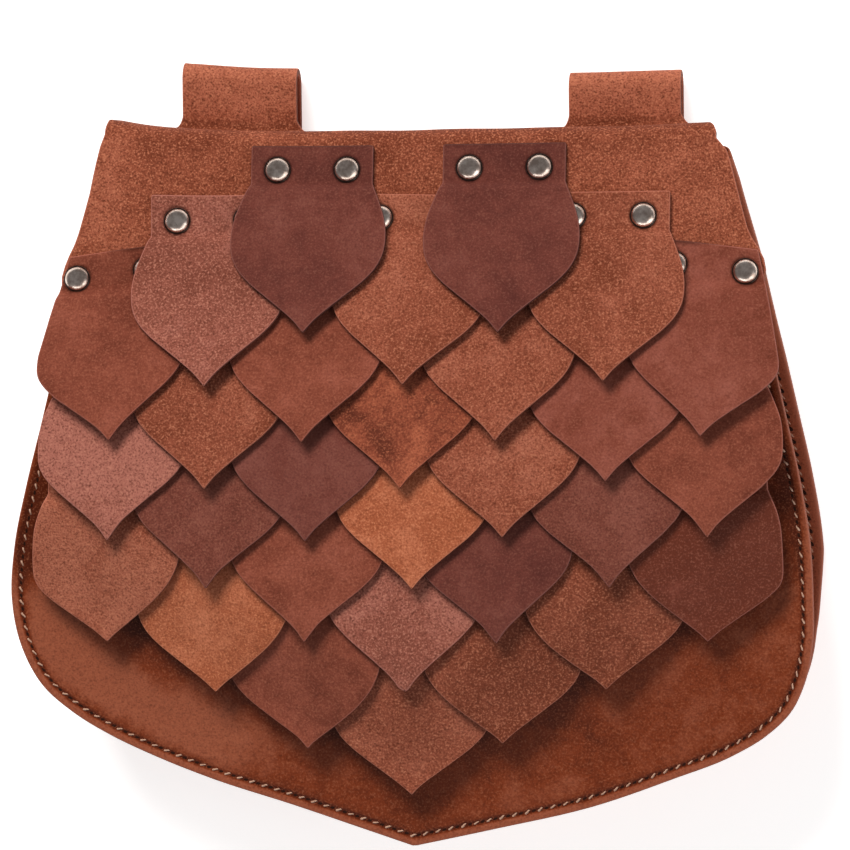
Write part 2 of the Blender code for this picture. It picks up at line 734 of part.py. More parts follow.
def flap():
    """Front, fold, turned-over edge and belt loops, cut in one piece."""
    outline = flap_outline()
    slots = [(centre, width / 2 + 0.8 * LOOP_SLOT) for _, centre, width, *_ in LOOPS]

    def loop_at(x):
        for loop, (centre, reach) in zip(LOOPS, slots):
            if abs(x - centre) < reach:
                return loop
        return None

    def form(x, y, h):
        loop = loop_at(x)
        if y > PART_AT and loop:
            return on_loop(loop, x, -y, h - WALL)
        return on_flap(x, -y, h - WALL)

    wide = HALF_WIDTH + 0.01
    lowest = -outline[0][1]
    under_tabs = [top + drop for top in ROW_TOPS.values() for drop in (0, STEP_START)]
    levels = [level_line(s, wide, 0.0105) for s in under_tabs if 0 < s < lowest]
    creases = [[(x, -s - row_sag(x)) for x, s in line] for line in levels]
    creases += [level_line(y, wide, 0.014) for y in [*fold_path().bends, PART_AT]]
    gaps = [-wide]
    for centre, reach in slots:
        gaps += [centre - reach, centre + reach]
    gaps.append(wide)
    for left, right in zip(gaps[::2], gaps[1::2]):
        creases += [[(left, y), (right, y)] for y in EDGE.bends[BEND_STEPS + 1:]]
    for (name, centre, width, *_), (_, reach) in zip(LOOPS, slots):
        ends = centre - reach, centre + reach
        bends = LOOP_PATHS[name].bends[BEND_STEPS + 2:]
        creases += [[(ends[0], y), (centre, y), (ends[1], y)] for y in bends]
    radius = SHANK_RADIUS + HOLE_CLEARANCE
    holes = [((x, -s - row_sag(x)), radius) for _, _, _, (x, s) in all_rivets()]
    formed_sheet("flap_with_belt_loops", outline, form, WALL, leather("flap"), holes, creases)


def scale_outline(row, column, shift, turn, longer):
    """A scale's edge on the flap's pattern as (x, -s), trimmed where it passes the flap's side."""
    length = SCALE_LENGTH + longer
    angle = math.radians(turn)
    centre = (column - 3) * COLUMN_PITCH + shift
    right = [(half * SCALE_WIDTH / 2, share * length) for share, half in SCALE_EDGE]
    left = [(-a, b) for a, b in right[-2::-1]]
    line = []
    for a, b in right + left:
        down = b - RIVET_DROP
        x = centre + a * math.cos(angle) - down * math.sin(angle)
        s = ROW_TOPS[row] + RIVET_DROP + a * math.sin(angle) + down * math.cos(angle)
        side = -1 if column < 3 else 1
        height = flap_height(s + row_sag(x))
        limit = flap_edge_x(side, height) if column in (0, 6) else side * HALF_WIDTH * 2
        line.append((max(x, limit) if side < 0 else min(x, limit), -s))
    return line


def scale(row, column, dye, shift, turn, longer):
    top = ROW_TOPS[row]
    outline = scale_outline(row, column, shift, turn, longer)
    drops = [STEP_START, STEP_END] + [ROW_PITCH * share for share in (1.5, 2.0, 2.5, 3.0)]
    centre = (column - 3) * COLUMN_PITCH + shift
    creases = []
    for drop in drops:
        across = (-0.6, -0.25, 0.0, 0.25, 0.6) if drop > 1.9 * ROW_PITCH else (-0.6, 0.0, 0.6)
        creases.append([(centre + a * SCALE_WIDTH, -top - drop) for a in across])
    holes = []
    if row in RIVETED_ROWS:
        radius = SHANK_RADIUS + HOLE_CLEARANCE
        holes = [((x, -s), radius) for x, s in rivet_places(row, column, shift, turn)]

    def form(x, y, h):
        return on_flap(x, row_sag(x) - y, layer_height(-y - top) + h)

    name = f"scale_row{row:02d}_column{column}"
    formed_sheet(name, outline, form, SCALE_WALL, leather(dye), holes, creases)


def rivet(row, column, side, place):
    """Domed cap on the scale, with its shank through the scale and the flap."""
    x = place[0]
    s = place[1] + row_sag(x)
    foot = Vector(on_flap(x, s, -WALL))
    seat = Vector(on_flap(x, s, GAP + SCALE_WALL))
    axis = (seat - foot).normalized()
    long = (seat - foot).length
    profile = (
        # radius, height above the scale
        (0.66 * CAP_RADIUS, CAP_SEAT + 0.93 * CAP_HEIGHT),
        (CAP_RADIUS, CAP_SEAT + 0.30 * CAP_HEIGHT),
        (CAP_RADIUS, CAP_SEAT),
        (SHANK_RADIUS, CAP_SEAT),
        (SHANK_RADIUS, -long),
    )
    turns = np.arange(RIVET_SIDES) * 2 * math.pi / RIVET_SIDES
    rings = [[Vector((r * math.cos(a), r * math.sin(a), z)) for a in turns] for r, z in profile]
    points = [p for ring in rings for p in ring]
    points += [Vector((0, 0, CAP_SEAT + CAP_HEIGHT)), Vector((0, 0, -long))]
    top, bottom = len(points) - 2, len(points) - 1
    faces = []
    for k in range(RIVET_SIDES):
        after = (k + 1) % RIVET_SIDES
        faces.append((top, k, after))
        for ring in range(len(rings) - 1):
            a, b = ring * RIVET_SIDES + k, ring * RIVET_SIDES + after
            faces.append((a, a + RIVET_SIDES, b + RIVET_SIDES, b))
        last = (len(rings) - 1) * RIVET_SIDES
        faces.append((last + after, last + k, bottom))
    name = f"rivet_row{row:02d}_column{column}_{side}"
    piece = add_piece(name, points, faces, material("antique_steel", (0.42, 0.40, 0.37, 1), 0.35, 1.0))
    turn = Vector((0, 0, 1)).rotation_difference(axis)
    piece.matrix_world = Matrix.Translation(seat) @ turn.to_matrix().to_4x4()


def build():
    for old in list(bpy.data.objects):
        bpy.data.objects.remove(old)
    back_panel()
    gusset()
    front_panel()
    flap()
    for row, column, dye, shift, turn, longer in SCALES:
        scale(row, column, dye, shift, turn, longer)
    for row, column, side, place in all_rivets():
        rivet(row, column, side, place)


build()
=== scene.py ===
"""A leather belt bag with a flap of overlapping riveted scales, finished for a photograph.

X runs across the bag, +Y up towards the belt loops, +Z out of the front. A place on the bag is
(x, v, z), with v the height above the bottom point. The flap has a flat pattern (x, s), with s
measured down the front from the start of the fold, and its scales are laid out on that pattern.
"""

import math

import bpy
import numpy as np
from mathutils import Matrix, Vector
from mathutils.geometry import delaunay_2d_cdt


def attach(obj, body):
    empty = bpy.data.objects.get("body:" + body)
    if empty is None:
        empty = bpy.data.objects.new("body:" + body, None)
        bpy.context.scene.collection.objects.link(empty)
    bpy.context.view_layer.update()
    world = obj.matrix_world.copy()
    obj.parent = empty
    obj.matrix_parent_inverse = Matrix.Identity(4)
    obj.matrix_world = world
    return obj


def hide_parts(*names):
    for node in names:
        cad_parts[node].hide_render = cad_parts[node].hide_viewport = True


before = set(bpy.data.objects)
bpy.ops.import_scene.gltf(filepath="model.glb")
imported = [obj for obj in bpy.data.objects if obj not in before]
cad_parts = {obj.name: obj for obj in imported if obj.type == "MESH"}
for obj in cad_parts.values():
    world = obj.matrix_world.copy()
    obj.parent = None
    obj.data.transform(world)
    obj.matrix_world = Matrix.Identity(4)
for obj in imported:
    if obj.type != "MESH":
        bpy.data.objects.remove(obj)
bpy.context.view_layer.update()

# Leather
WALL = 0.0022
SCALE_WALL = 0.0017
GAP = 0.0003
FLAP_GAP = 0.0006
LAYER_GAP = 0.00075

# Pouch
HALF_WIDTH = 0.120
BODY_HEIGHT = 0.213
POUCH_DEPTH = 0.038
MOUTH_ROOM = 0.014
MOUTH_DROP = 0.010
BACK_TOP_DROP = 0.006
SWELL = 0.007
SEAM_RUN = 0.040
FLANGE = 0.008
GUSSET_BELLY = 0.0035

# Flap, fold and belt loops
FRONT_FOLD_RADIUS = 0.006
BACK_FOLD_RADIUS = 0.0045
TURN_OVER = 0.0105
FOLD_END_RISE = (0.0051, 0.0012)
FOLD_TAPER = 0.003
FOLD_CLIP = 0.0026
FLAP_HEM = 0.007
BELT_ROOM = 0.0048
LOOP_STEP = 0.0035
CREASE_RADIUS = 0.002
LOOP_SLOT = 0.006
FLARE_WIDTH = 0.0028
RIGHT_FLARE = 0.0046
FLARE_HEIGHT = 0.0055

# Scales
SCALE_LENGTH = 0.057
SCALE_WIDTH = 0.0466
FIRST_ROW_DROP = 0.0003
LAST_TIP = 0.0171
EDGE_INSET = 0.0082
STEP_RUN = 0.0022
TURN_ROOM = 0.0009
ROW_SAG = 0.0026
DROOP = 0.0075

# Rivets, with the taller dome of the real caps
RIVET_SPAN = 0.0209
CAP_RADIUS = 0.00385
CAP_HEIGHT = 0.00095
CAP_SEAT = 0.0004
CAP_ROOM = 0.0006
DOME_HEIGHT = 0.0015
RIVETED_ROWS = (1, 2, 3)

# Stitching
STITCH_PITCH = 0.0039
STITCH_INSET = 0.0030
BACK_STITCH_INSET = 0.0034
GROOVE_DEPTH = 0.00045
GROOVE_WIDTH = 0.0012

# Shares of the mouth's height, and of the swell, at which the pouch changes shape
SEWN_STRAP = (0.775, 0.845)
STRAP_RUN = 0.080
BELT_RUN = 0.115
SEAM_FALL = 0.45
SWELL_TOP = (0.985, 0.505)
SWELL_BOTTOM = (0.05, 0.45)
TIP_SWELL = 0.40
SIDE_FALL = 0.85
END_RISE_FROM = 0.88
SAG_FROM = 0.60

MOUTH = BODY_HEIGHT - MOUTH_DROP
TIP_Y = -BODY_HEIGHT / 2
BACK_LIFT = WALL + BELT_ROOM + WALL + GAP
MOUTH_Z = BACK_LIFT + WALL + MOUTH_ROOM
FLAP_TO_PANEL = WALL + FLAP_GAP + WALL
CAP_TOP = SCALE_WALL + CAP_SEAT + CAP_HEIGHT
COLUMN_PITCH = (HALF_WIDTH - EDGE_INSET - SCALE_WIDTH / 2) / 3
QUARTER = math.pi / 2
FLOOR_Z = -0.0008            # the rear stitches stand a little proud of the back

PANEL_EDGE = (
    # height of mouth, left and right shares of half width
    (1.000, 0.783, 0.790),
    (0.813, 0.855, 0.861),
    (0.626, 0.927, 0.931),
    (0.532, 0.967, 0.965),
    (0.443, 0.999, 0.988),
    (0.365, 1.008, 0.994),
    (0.296, 0.986, 0.992),
    (0.236, 0.932, 0.970),
    (0.197, 0.857, 0.938),
    (0.163, 0.762, 0.879),
    (0.133, 0.654, 0.794),
    (0.099, 0.508, 0.646),
    (0.059, 0.296, 0.450),
    (0.025, 0.125, 0.200),
    (0.000, 0.000, 0.000),
)

BACK_MARGIN = (
    # share of the mouth's height, how far the back panel is cut outside the front panel
    (1.03, -0.0006),
    (0.97, 0.0006),
    (0.85, 0.0012),
    (0.42, 0.0012),
    (0.30, -0.0014),
    (0.00, -0.0014),
)

OUTER_TRIM = (
    # row, how much narrower its outermost scales are cut on the left and right
    (3, 0.0012, 0.0008),
    (5, 0.0, 0.0),
    (7, 0.0010, 0.0018),
)

FLAP_SIDE = (
    # share of body height, how far the flap reaches past the panel's edge on the left and right
    (1.000, 0.0003, -0.0012),
    (0.950, 0.0002, 0.0003),
    (0.900, 0.0003, 0.0008),
    (0.850, 0.0016, 0.0014),
    (0.820, 0.0032, 0.0043),
    (0.740, 0.0038, 0.0037),
    (0.685, 0.0040, 0.0030),
    (0.555, 0.0005, 0.0005),
    (0.000, 0.0005, 0.0005),
)

SCALE_EDGE = (
    # share of length, share of half width
    (0.000, 0.790),
    (0.200, 0.790),
    (0.290, 0.880),
    (0.400, 0.970),
    (0.510, 1.000),
    (0.595, 0.970),
    (0.665, 0.885),
    (0.730, 0.745),
    (0.800, 0.540),
    (0.870, 0.325),
    (0.940, 0.128),
    (1.000, 0.000),
)

LOOPS = (
    # name, centre x, width, rise above the fold, top slope in degrees
    ("left", -0.0547, 0.0350, 0.0196, -1.0),
    ("right", 0.0624, 0.0338, 0.0166, -0.2),
)

SCALES = (
    # row, column, dye, sideways shift, turn in degrees, extra length, tone: each scale's dye depth with
    # painted light, paler on the left and darker to the lower right
    (1, 2, "plum", 0.0004, 0.0, 0.0018, -0.15),
    (1, 4, "plum", -0.0009, 0.0, 0.0024, -0.08),
    (2, 1, "rosy", -0.0001, -1.2, 0.0020, -0.08),
    (2, 3, "tan", 0.0022, 1.6, 0.0022, 0.0),
    (2, 5, "tan", 0.0007, 0.4, 0.0015, -0.15),
    (3, 0, "russet", -0.0006, -3.0, 0.0015, -0.10),
    (3, 2, "russet", 0.0007, 0.0, 0.0031, -0.10),
    (3, 4, "tan", -0.0015, 0.0, 0.0031, 0.0),
    (3, 6, "red", 0.0014, 2.9, 0.0014, -0.06),
    (4, 1, "tan", 0.0013, 0.0, 0.0008, -0.10),
    (4, 3, "mottled", 0.0001, 0.0, 0.0009, 0.0),
    (4, 5, "red", 0.0009, 0.0, -0.0007, 0.1),
    (5, 0, "rosy", 0.0019, 0.0, -0.0018, 0.42),
    (5, 2, "plum", 0.0015, 0.0, 0.0006, 0.35),
    (5, 4, "tan", 0.0003, 0.0, -0.0002, 0.05),
    (5, 6, "russet", -0.0002, 0.0, -0.0021, -0.10),
    (6, 1, "wine", 0.0019, 0.0, -0.0024, 0.12),
    (6, 3, "amber", 0.0032, 0.0, -0.0008, 0.15),
    (6, 5, "wine", 0.0008, 0.0, -0.0024, 0.0),
    (7, 0, "tan", -0.0008, 0.0, -0.0007, 0.30),
    (7, 2, "russet", 0.0013, 0.0, -0.0020, -0.10),
    (7, 4, "plum", -0.0027, 0.0, -0.0015, -0.1),
    (7, 6, "red", -0.0002, 0.0, -0.0003, -0.65),
    (8, 1, "amber", 0.0024, 0.0, -0.0009, 0.08),
    (8, 3, "rosy", 0.0002, 0.0, -0.0026, 0.25),
    (8, 5, "tan", -0.0006, 0.0, -0.0013, -0.35),
    (9, 2, "russet", -0.0003, 0.0, 0.0017, -0.02),
    (9, 4, "tan", -0.0017, 0.0, -0.0003, -0.40),
    (10, 3, "tan", 0.0009, 0.0, 0.0007, 0.12),
)

# The rounded edge of a cut sheet
EDGE_ROUND = (
    # inset from the cut, depth below the face
    (0.00048, 0.0),
    (0.00020, 0.00006),
    (0.00006, 0.00020),
    (0.0, 0.00046),
)

# Camera, above the bag and turned a little to its right
CAMERA_TARGET = (0.0, -0.0015, 0.040)
CAMERA_DISTANCE = 1.600
CAMERA_YAW = 8.0
CAMERA_PITCH = 2.19
CAMERA_ROLL = -0.73
CAMERA_LENS = 228.5
CAMERA_OFFSET = (0.0046, 0.0203)


def smooth(value, start, end):
    """0 at the start, 1 at the end, either of which may be the higher, and an S curve between."""
    t = np.clip((value - start) / (end - start), 0.0, 1.0)
    return t * t * (3 - 2 * t)


def through(points, steps):
    """A smooth curve through the points, with steps pieces between each two."""
    points = np.array(points, float)
    chords = np.linalg.norm(np.diff(points, axis=0), axis=1)
    slopes = np.diff(points, axis=0) / chords[:, None]
    tangents = np.empty_like(points)
    tangents[0], tangents[-1] = slopes[0], slopes[-1]
    tangents[1:-1] = slopes[:-1] * chords[1:, None] + slopes[1:] * chords[:-1, None]
    tangents[1:-1] /= (chords[:-1] + chords[1:])[:, None]
    curve = []
    for i, chord in enumerate(chords):
        for t in np.linspace(0, 1, steps, endpoint=False):
            curve.append(
                (2 * t**3 - 3 * t**2 + 1) * points[i]
                + (t**3 - 2 * t**2 + t) * chord * tangents[i]
                + (3 * t**2 - 2 * t**3) * points[i + 1]
                + (t**3 - t**2) * chord * tangents[i + 1]
            )
    return np.array(curve + [points[-1]])


def lengths_along(curve):
    return np.concatenate([[0], np.cumsum(np.linalg.norm(np.diff(curve, axis=0), axis=1))])


def unit(vectors):
    return vectors / np.linalg.norm(vectors, axis=-1, keepdims=True)


def ripple(x, y, size, seed):
    """Gentle unevenness, about -1 to 1, whose waves are about size long."""
    dice = np.random.default_rng(seed)
    total = 0.0
    for _ in range(8):
        heading, start = dice.uniform(0, 2 * math.pi, 2)
        wave = 2 * math.pi / (size * dice.uniform(0.7, 1.6))
        total = total + np.sin(wave * (x * math.cos(heading) + y * math.sin(heading)) + start)
    return total / 4


def distance_to(line, points):
    """Distance from each point to the nearest stretch of a line."""
    a, run = line[:-1], np.diff(line, axis=0)
    square = np.maximum((run**2).sum(axis=1), 1e-18)
    nearest = []
    for some in np.array_split(points, len(points) // 2000 + 1):
        gap = some[:, None] - a
        t = np.clip((gap * run).sum(axis=2) / square, 0, 1)
        nearest.append(np.linalg.norm(gap - t[..., None] * run, axis=2).min(axis=1))
    return np.concatenate(nearest)


def back_z(v):
    """Rear face of the back panel: flat, off the straps where they are sewn, then off the belt."""
    sewn, free = SEWN_STRAP
    off_strap = (WALL + GAP) * smooth(v / MOUTH, sewn - STRAP_RUN, sewn)
    off_belt = (BELT_ROOM + WALL) * smooth(v / MOUTH, free, free + BELT_RUN)
    return off_strap + off_belt


def seam_z(v):
    """Rear face of the front panel at its seam."""
    above = np.maximum(v / MOUTH - SEAM_FALL, 0.0) / (1 - SEAM_FALL)
    return POUCH_DEPTH - (POUCH_DEPTH - MOUTH_Z) * above**2


def swell(x, v):
    """How far the front stands out, were it not held by its seam."""
    lift = smooth(v / MOUTH, *SWELL_TOP)
    lift = lift * (TIP_SWELL + (1 - TIP_SWELL) * smooth(v / MOUTH, *SWELL_BOTTOM))
    return SWELL * lift * (1 - SIDE_FALL * (x / HALF_WIDTH) ** 2)


def panel_side(side):
    """Edge of the front panel on one side, -1 or +1, from the mouth to the bottom point."""
    share = 1 if side < 0 else 2
    return through([(side * row[share] * HALF_WIDTH, row[0] * MOUTH) for row in PANEL_EDGE], 24)


SIDES = {side: panel_side(side) for side in (-1, 1)}


def panel_edge_x(side, v):
    """How far out the front panel's edge is at height v, carried straight on above the mouth."""
    curve = SIDES[side][::-1]
    widest = np.argmax(np.abs(curve[:, 0]))
    (x0, v0), (x1, v1) = curve[-25], curve[-1]
    below = np.interp(v, curve[widest:, 1], curve[widest:, 0])
    return np.where(np.asarray(v) > MOUTH, x1 + (v - v1) * (x1 - x0) / (v1 - v0), below)


def back_margin(v):
    heights, margins = zip(*BACK_MARGIN[::-1])
    return np.interp(v / MOUTH, heights, margins)


def seam_route(margin=None, step=0.0015):
    """Line along the seam from mouth to mouth, moved out by margin(v): points and normals."""
    line = np.concatenate([SIDES[-1], SIDES[1][-2::-1]])
    along = lengths_along(line)
    at = np.linspace(0, along[-1], round(along[-1] / step) + 1)
    points = np.stack([np.interp(at, along, line[:, i]) for i in (0, 1)], axis=1)
    run = unit(np.gradient(points, axis=0))
    out = np.stack([run[:, 1], -run[:, 0]], axis=1)
    reach = round(0.005 / step)
    window = np.hanning(2 * reach + 3)[1:-1]
    padded = np.concatenate([out[:1].repeat(reach, 0), out, out[-1:].repeat(reach, 0)])
    out = np.stack([np.convolve(padded[:, i], window, "valid") for i in (0, 1)], axis=1)
    out = unit(out)
    if margin is not None:
        points = points + margin(points[:, 1])[:, None] * out
    return points, out


SEAM_LINE = seam_route()[0]
BACK_LINE = seam_route(back_margin)[0]


def on_bag(x, v, z):
    x, v, z = np.broadcast_arrays(x, v, z)
    return np.stack([x, v + TIP_Y, z], axis=-1)


def groove(distance, inset):
    """How deep the stitching groove is at a distance inside the cut edge."""
    return GROOVE_DEPTH * np.exp(-(((distance - inset) / (GROOVE_WIDTH / 2)) ** 2))


class Path:
    """A line in the (v, z) plane through straight runs and arcs, read by the length along it."""

    def __init__(self, start, heading):
        self.points = [np.array(start, float)]
        self.heading = heading

    def length(self):
        return float(lengths_along(np.array(self.points))[-1])

    def run(self, distance):
        ahead = np.array([math.cos(self.heading), math.sin(self.heading)])
        self.points.append(self.points[-1] + distance * ahead)
        return self

    def arc(self, radius, turn, steps=16):
        chord = 2 * radius * math.sin(abs(turn) / steps / 2)
        for _ in range(steps):
            self.heading += turn / steps / 2
            self.run(chord)
            self.heading += turn / steps / 2
        return self

    def at(self, s):
        """Points and normals, the normals turned 90 degrees from the heading."""
        curve = np.array(self.points)
        along = lengths_along(curve)
        steps = unit(np.diff(curve, axis=0))
        tangents = unit(np.concatenate([steps[:1], steps[:-1] + steps[1:], steps[-1:]]))
        v, z, tv, tz = (np.interp(s, along, c) for c in (*curve.T, *tangents.T))
        return v, z, -tz, tv


def face_z(v):
    """Outer face of the flap on the centreline."""
    return seam_z(v) + swell(0, v) + FLAP_TO_PANEL


FALL = math.atan2(face_z(MOUTH) - face_z(MOUTH + FRONT_FOLD_RADIUS), FRONT_FOLD_RADIUS)
FOLD_V = BODY_HEIGHT - FRONT_FOLD_RADIUS * (1 - math.sin(FALL))
REAR_FACE_Z = BACK_LIFT - GAP - WALL
LOOP_FACE_Z = REAR_FACE_Z + LOOP_STEP


def flap_front():
    """The flap's outer face on the centreline, from the start of the fold downwards."""
    path = Path((FOLD_V, face_z(FOLD_V)), -FALL)
    path.points += [np.array([v, face_z(v)]) for v in np.linspace(FOLD_V, 0, 281)[1:]]
    return path


def fold_path():
    """Over the top of the bag, from the start of the fold to where loops and edge part."""
    path = Path((FOLD_V, face_z(FOLD_V)), -FALL)
    path.arc(FRONT_FOLD_RADIUS, FALL - QUARTER)
    return path.run(path.points[-1][1] - LOOP_FACE_Z - CREASE_RADIUS)


def edge_path():
    """The fold carried on over the back panel's top edge and down behind it."""
    path = fold_path()
    path.run(LOOP_FACE_Z + CREASE_RADIUS - REAR_FACE_Z - BACK_FOLD_RADIUS)
    return path.arc(BACK_FOLD_RADIUS, -QUARTER).run(TURN_OVER)


def loop_path(rise):
    """The fold carried on up through the crease, over the loop's top and down its back strap."""
    radius = LOOP_FACE_Z / 2
    path = fold_path()
    path.arc(CREASE_RADIUS, QUARTER).run(rise - CREASE_RADIUS - radius)
    path.arc(radius, -2 * QUARTER, 28)
    return path.run(BODY_HEIGHT + rise - radius - SEWN_STRAP[0] * MOUTH)


FRONT = flap_front()
PART_AT = fold_path().length()
EDGE = edge_path()
LOOP_PATHS = {name: loop_path(rise) for name, _, _, rise, _ in LOOPS}


def pattern_s(v):
    """Length down the flap's pattern at a height on its front."""
    curve = np.array(FRONT.points)
    return float(np.interp(-v, -curve[:, 0], lengths_along(curve)))


def end_rise(x):
    """How much the fold rises towards its ends."""
    return np.where(x > 0, FOLD_END_RISE[1], FOLD_END_RISE[0]) * (x / panel_edge_x(1, MOUTH)) ** 4


def scale_rows():
    """Top edge of each row down the pattern."""
    first = FIRST_ROW_DROP
    last = pattern_s(LAST_TIP + SCALE_LENGTH)
    rows = max(row for row, *_ in SCALES)
    return {row + 1: first + (last - first) * row / (rows - 1) for row in range(rows)}


ROW_TOPS = scale_rows()
ROW_PITCH = ROW_TOPS[2] - ROW_TOPS[1]
STEP_END = ROW_PITCH - TURN_ROOM - LAYER_GAP / 3
STEP_START = STEP_END - STEP_RUN
RIVET_DROP = STEP_START - CAP_ROOM - CAP_RADIUS
LAYER = max(SCALE_WALL + LAYER_GAP, CAP_TOP / (1 + (RIVET_DROP - CAP_RADIUS) / ROW_PITCH))
LAST_ROWS = {column: max(row for row, c, *_ in SCALES if c == column) for column in (0, 3)}
HEM_BELOW_ROW = RIVET_DROP + CAP_RADIUS + FLAP_HEM


def row_sag(x):
    """How much lower than in the middle the rows hang at x."""
    return ROW_SAG * smooth(np.abs(x) / HALF_WIDTH, SAG_FROM, 1)


def hem_s(x):
    """Length down the pattern to the flap's lower edge, a V below the last rivets of each column."""
    middle, side = ROW_TOPS[LAST_ROWS[3]], ROW_TOPS[LAST_ROWS[0]]
    level = middle + HEM_BELOW_ROW - (middle - side) * np.abs(x) / (3 * COLUMN_PITCH)
    return level + row_sag(x)


def flap_face(x, s):
    """Outer face of the flap, for s down the front or, below 0, over the fold."""
    down, over = FRONT.at(np.maximum(s, 0)), EDGE.at(np.maximum(-s, 0))
    front = s >= 0
    v = np.where(front, down[0], over[0])
    z = np.where(front, down[1] + swell(x, v) - swell(0, v), over[1])
    z = z - DROOP * smooth(s, hem_s(x), hem_s(x) + SCALE_LENGTH - HEM_BELOW_ROW)
    return on_bag(x, v + end_rise(x) * smooth(v / MOUTH, END_RISE_FROM, 1), z)


def on_flap(x, s, h):
    """Place of the point h above the flap's outer face."""
    near = 0.0006
    across = flap_face(x + near, s) - flap_face(x - near, s)
    upwards = flap_face(x, s - near) - flap_face(x, s + near)
    return flap_face(x, s) + np.asarray(h)[..., None] * unit(np.cross(across, upwards))


def on_loop(loop, x, s, h):
    """Place of a point of a belt loop, whose face is a little crowned across its width."""
    name, centre, width, rise, slope = loop
    v, z, nv, nz = LOOP_PATHS[name].at(-s)
    v, z = v + h * nv, z + h * nz
    above = np.maximum(v - BODY_HEIGHT, 0.0)
    tilt = math.tan(math.radians(slope)) * (x - centre) * np.minimum(above / rise, 1.0)
    return on_bag(x, v + tilt + end_rise(x), z)


def flap_edge_x(side, v):
    """How far out the flap's side is cut at height v."""
    rows = FLAP_SIDE[::-1]
    past = [row[1 if side < 0 else 2] for row in rows]
    return panel_edge_x(side, v) + side * np.interp(v / BODY_HEIGHT, [row[0] for row in rows], past)


def layer_height(drop):
    """Inner face of a scale above the flap, at a distance below its row's top edge."""
    step = smooth(drop, STEP_START - 0.0005, STEP_END + 0.0005)
    stepping = GAP + LAYER * STEP_END / ROW_PITCH * step
    return np.where(drop >= STEP_END, np.maximum(GAP + LAYER * drop / ROW_PITCH, stepping), stepping)


def rivet_places(row, column, shift, turn):
    """Where a scale's two rivets lie, before the rows sag."""
    x = (column - 3) * COLUMN_PITCH + shift
    s = ROW_TOPS[row] + RIVET_DROP
    across = math.cos(math.radians(turn)) * RIVET_SPAN / 2
    down = math.sin(math.radians(turn)) * RIVET_SPAN / 2
    return [(x - across, s - down), (x + across, s + down)]


def new_piece(name, points, faces, finishes):
    mesh = bpy.data.meshes.new(name)
    mesh.from_pydata(np.asarray(points).tolist(), [], faces)
    for finish in finishes:
        mesh.materials.append(finish)
    mesh.shade_smooth()
    piece = bpy.data.objects.new(name, mesh)
    bpy.context.scene.collection.objects.link(piece)
    return piece


def note(piece, name, values, kind="FLOAT"):
    """Write one value, or one vector, on each point of a piece."""
    layer = piece.data.attributes.new(name, kind, "POINT")
    field = "vector" if kind == "FLOAT_VECTOR" else "value"
    layer.data.foreach_set(field, np.asarray(values, np.float32).ravel())


def rounded(outline, radius):
    """The outline with each corner cut round."""
    line = []
    outline = np.array(outline, float)
    for before, here, after in zip(np.roll(outline, 1, 0), outline, np.roll(outline, -1, 0)):
        back, ahead = before - here, after - here
        room = min(np.linalg.norm(back), np.linalg.norm(ahead))
        turn = math.acos(float(np.clip(-unit(back) @ unit(ahead), -1, 1)))
        if turn < math.radians(25):
            line.append(here)
            continue
        cut = min(radius * math.tan(turn / 2), 0.45 * room)
        first, last = here + cut * unit(back), here + cut * unit(ahead)
        for t in np.linspace(0, 1, 6):
            line.append((1 - t) ** 2 * first + 2 * t * (1 - t) * here + t**2 * last)
    return np.array(line)


def spaced(outline, step):
    """The closed outline, anticlockwise, with points no further apart than step."""
    area = np.cross(outline, np.roll(outline, -1, 0)).sum()
    outline = outline if area > 0 else outline[::-1]
    line = []
    for here, after in zip(outline, np.roll(outline, -1, 0)):
        count = max(1, math.ceil(np.linalg.norm(after - here) / step))
        line += [here + (after - here) * k / count for k in range(count)]
    return np.array(line)


def outward(outline):
    """Outward normals of a closed anticlockwise outline, longer at its corners."""
    ahead = unit(np.roll(outline, -1, 0) - outline)
    before = np.roll(ahead, 1, 0)
    normal = np.stack([ahead[:, 1] + before[:, 1], -ahead[:, 0] - before[:, 0]], axis=1)
    return normal / np.maximum(1 + (ahead * before).sum(axis=1), 0.6)[:, None]


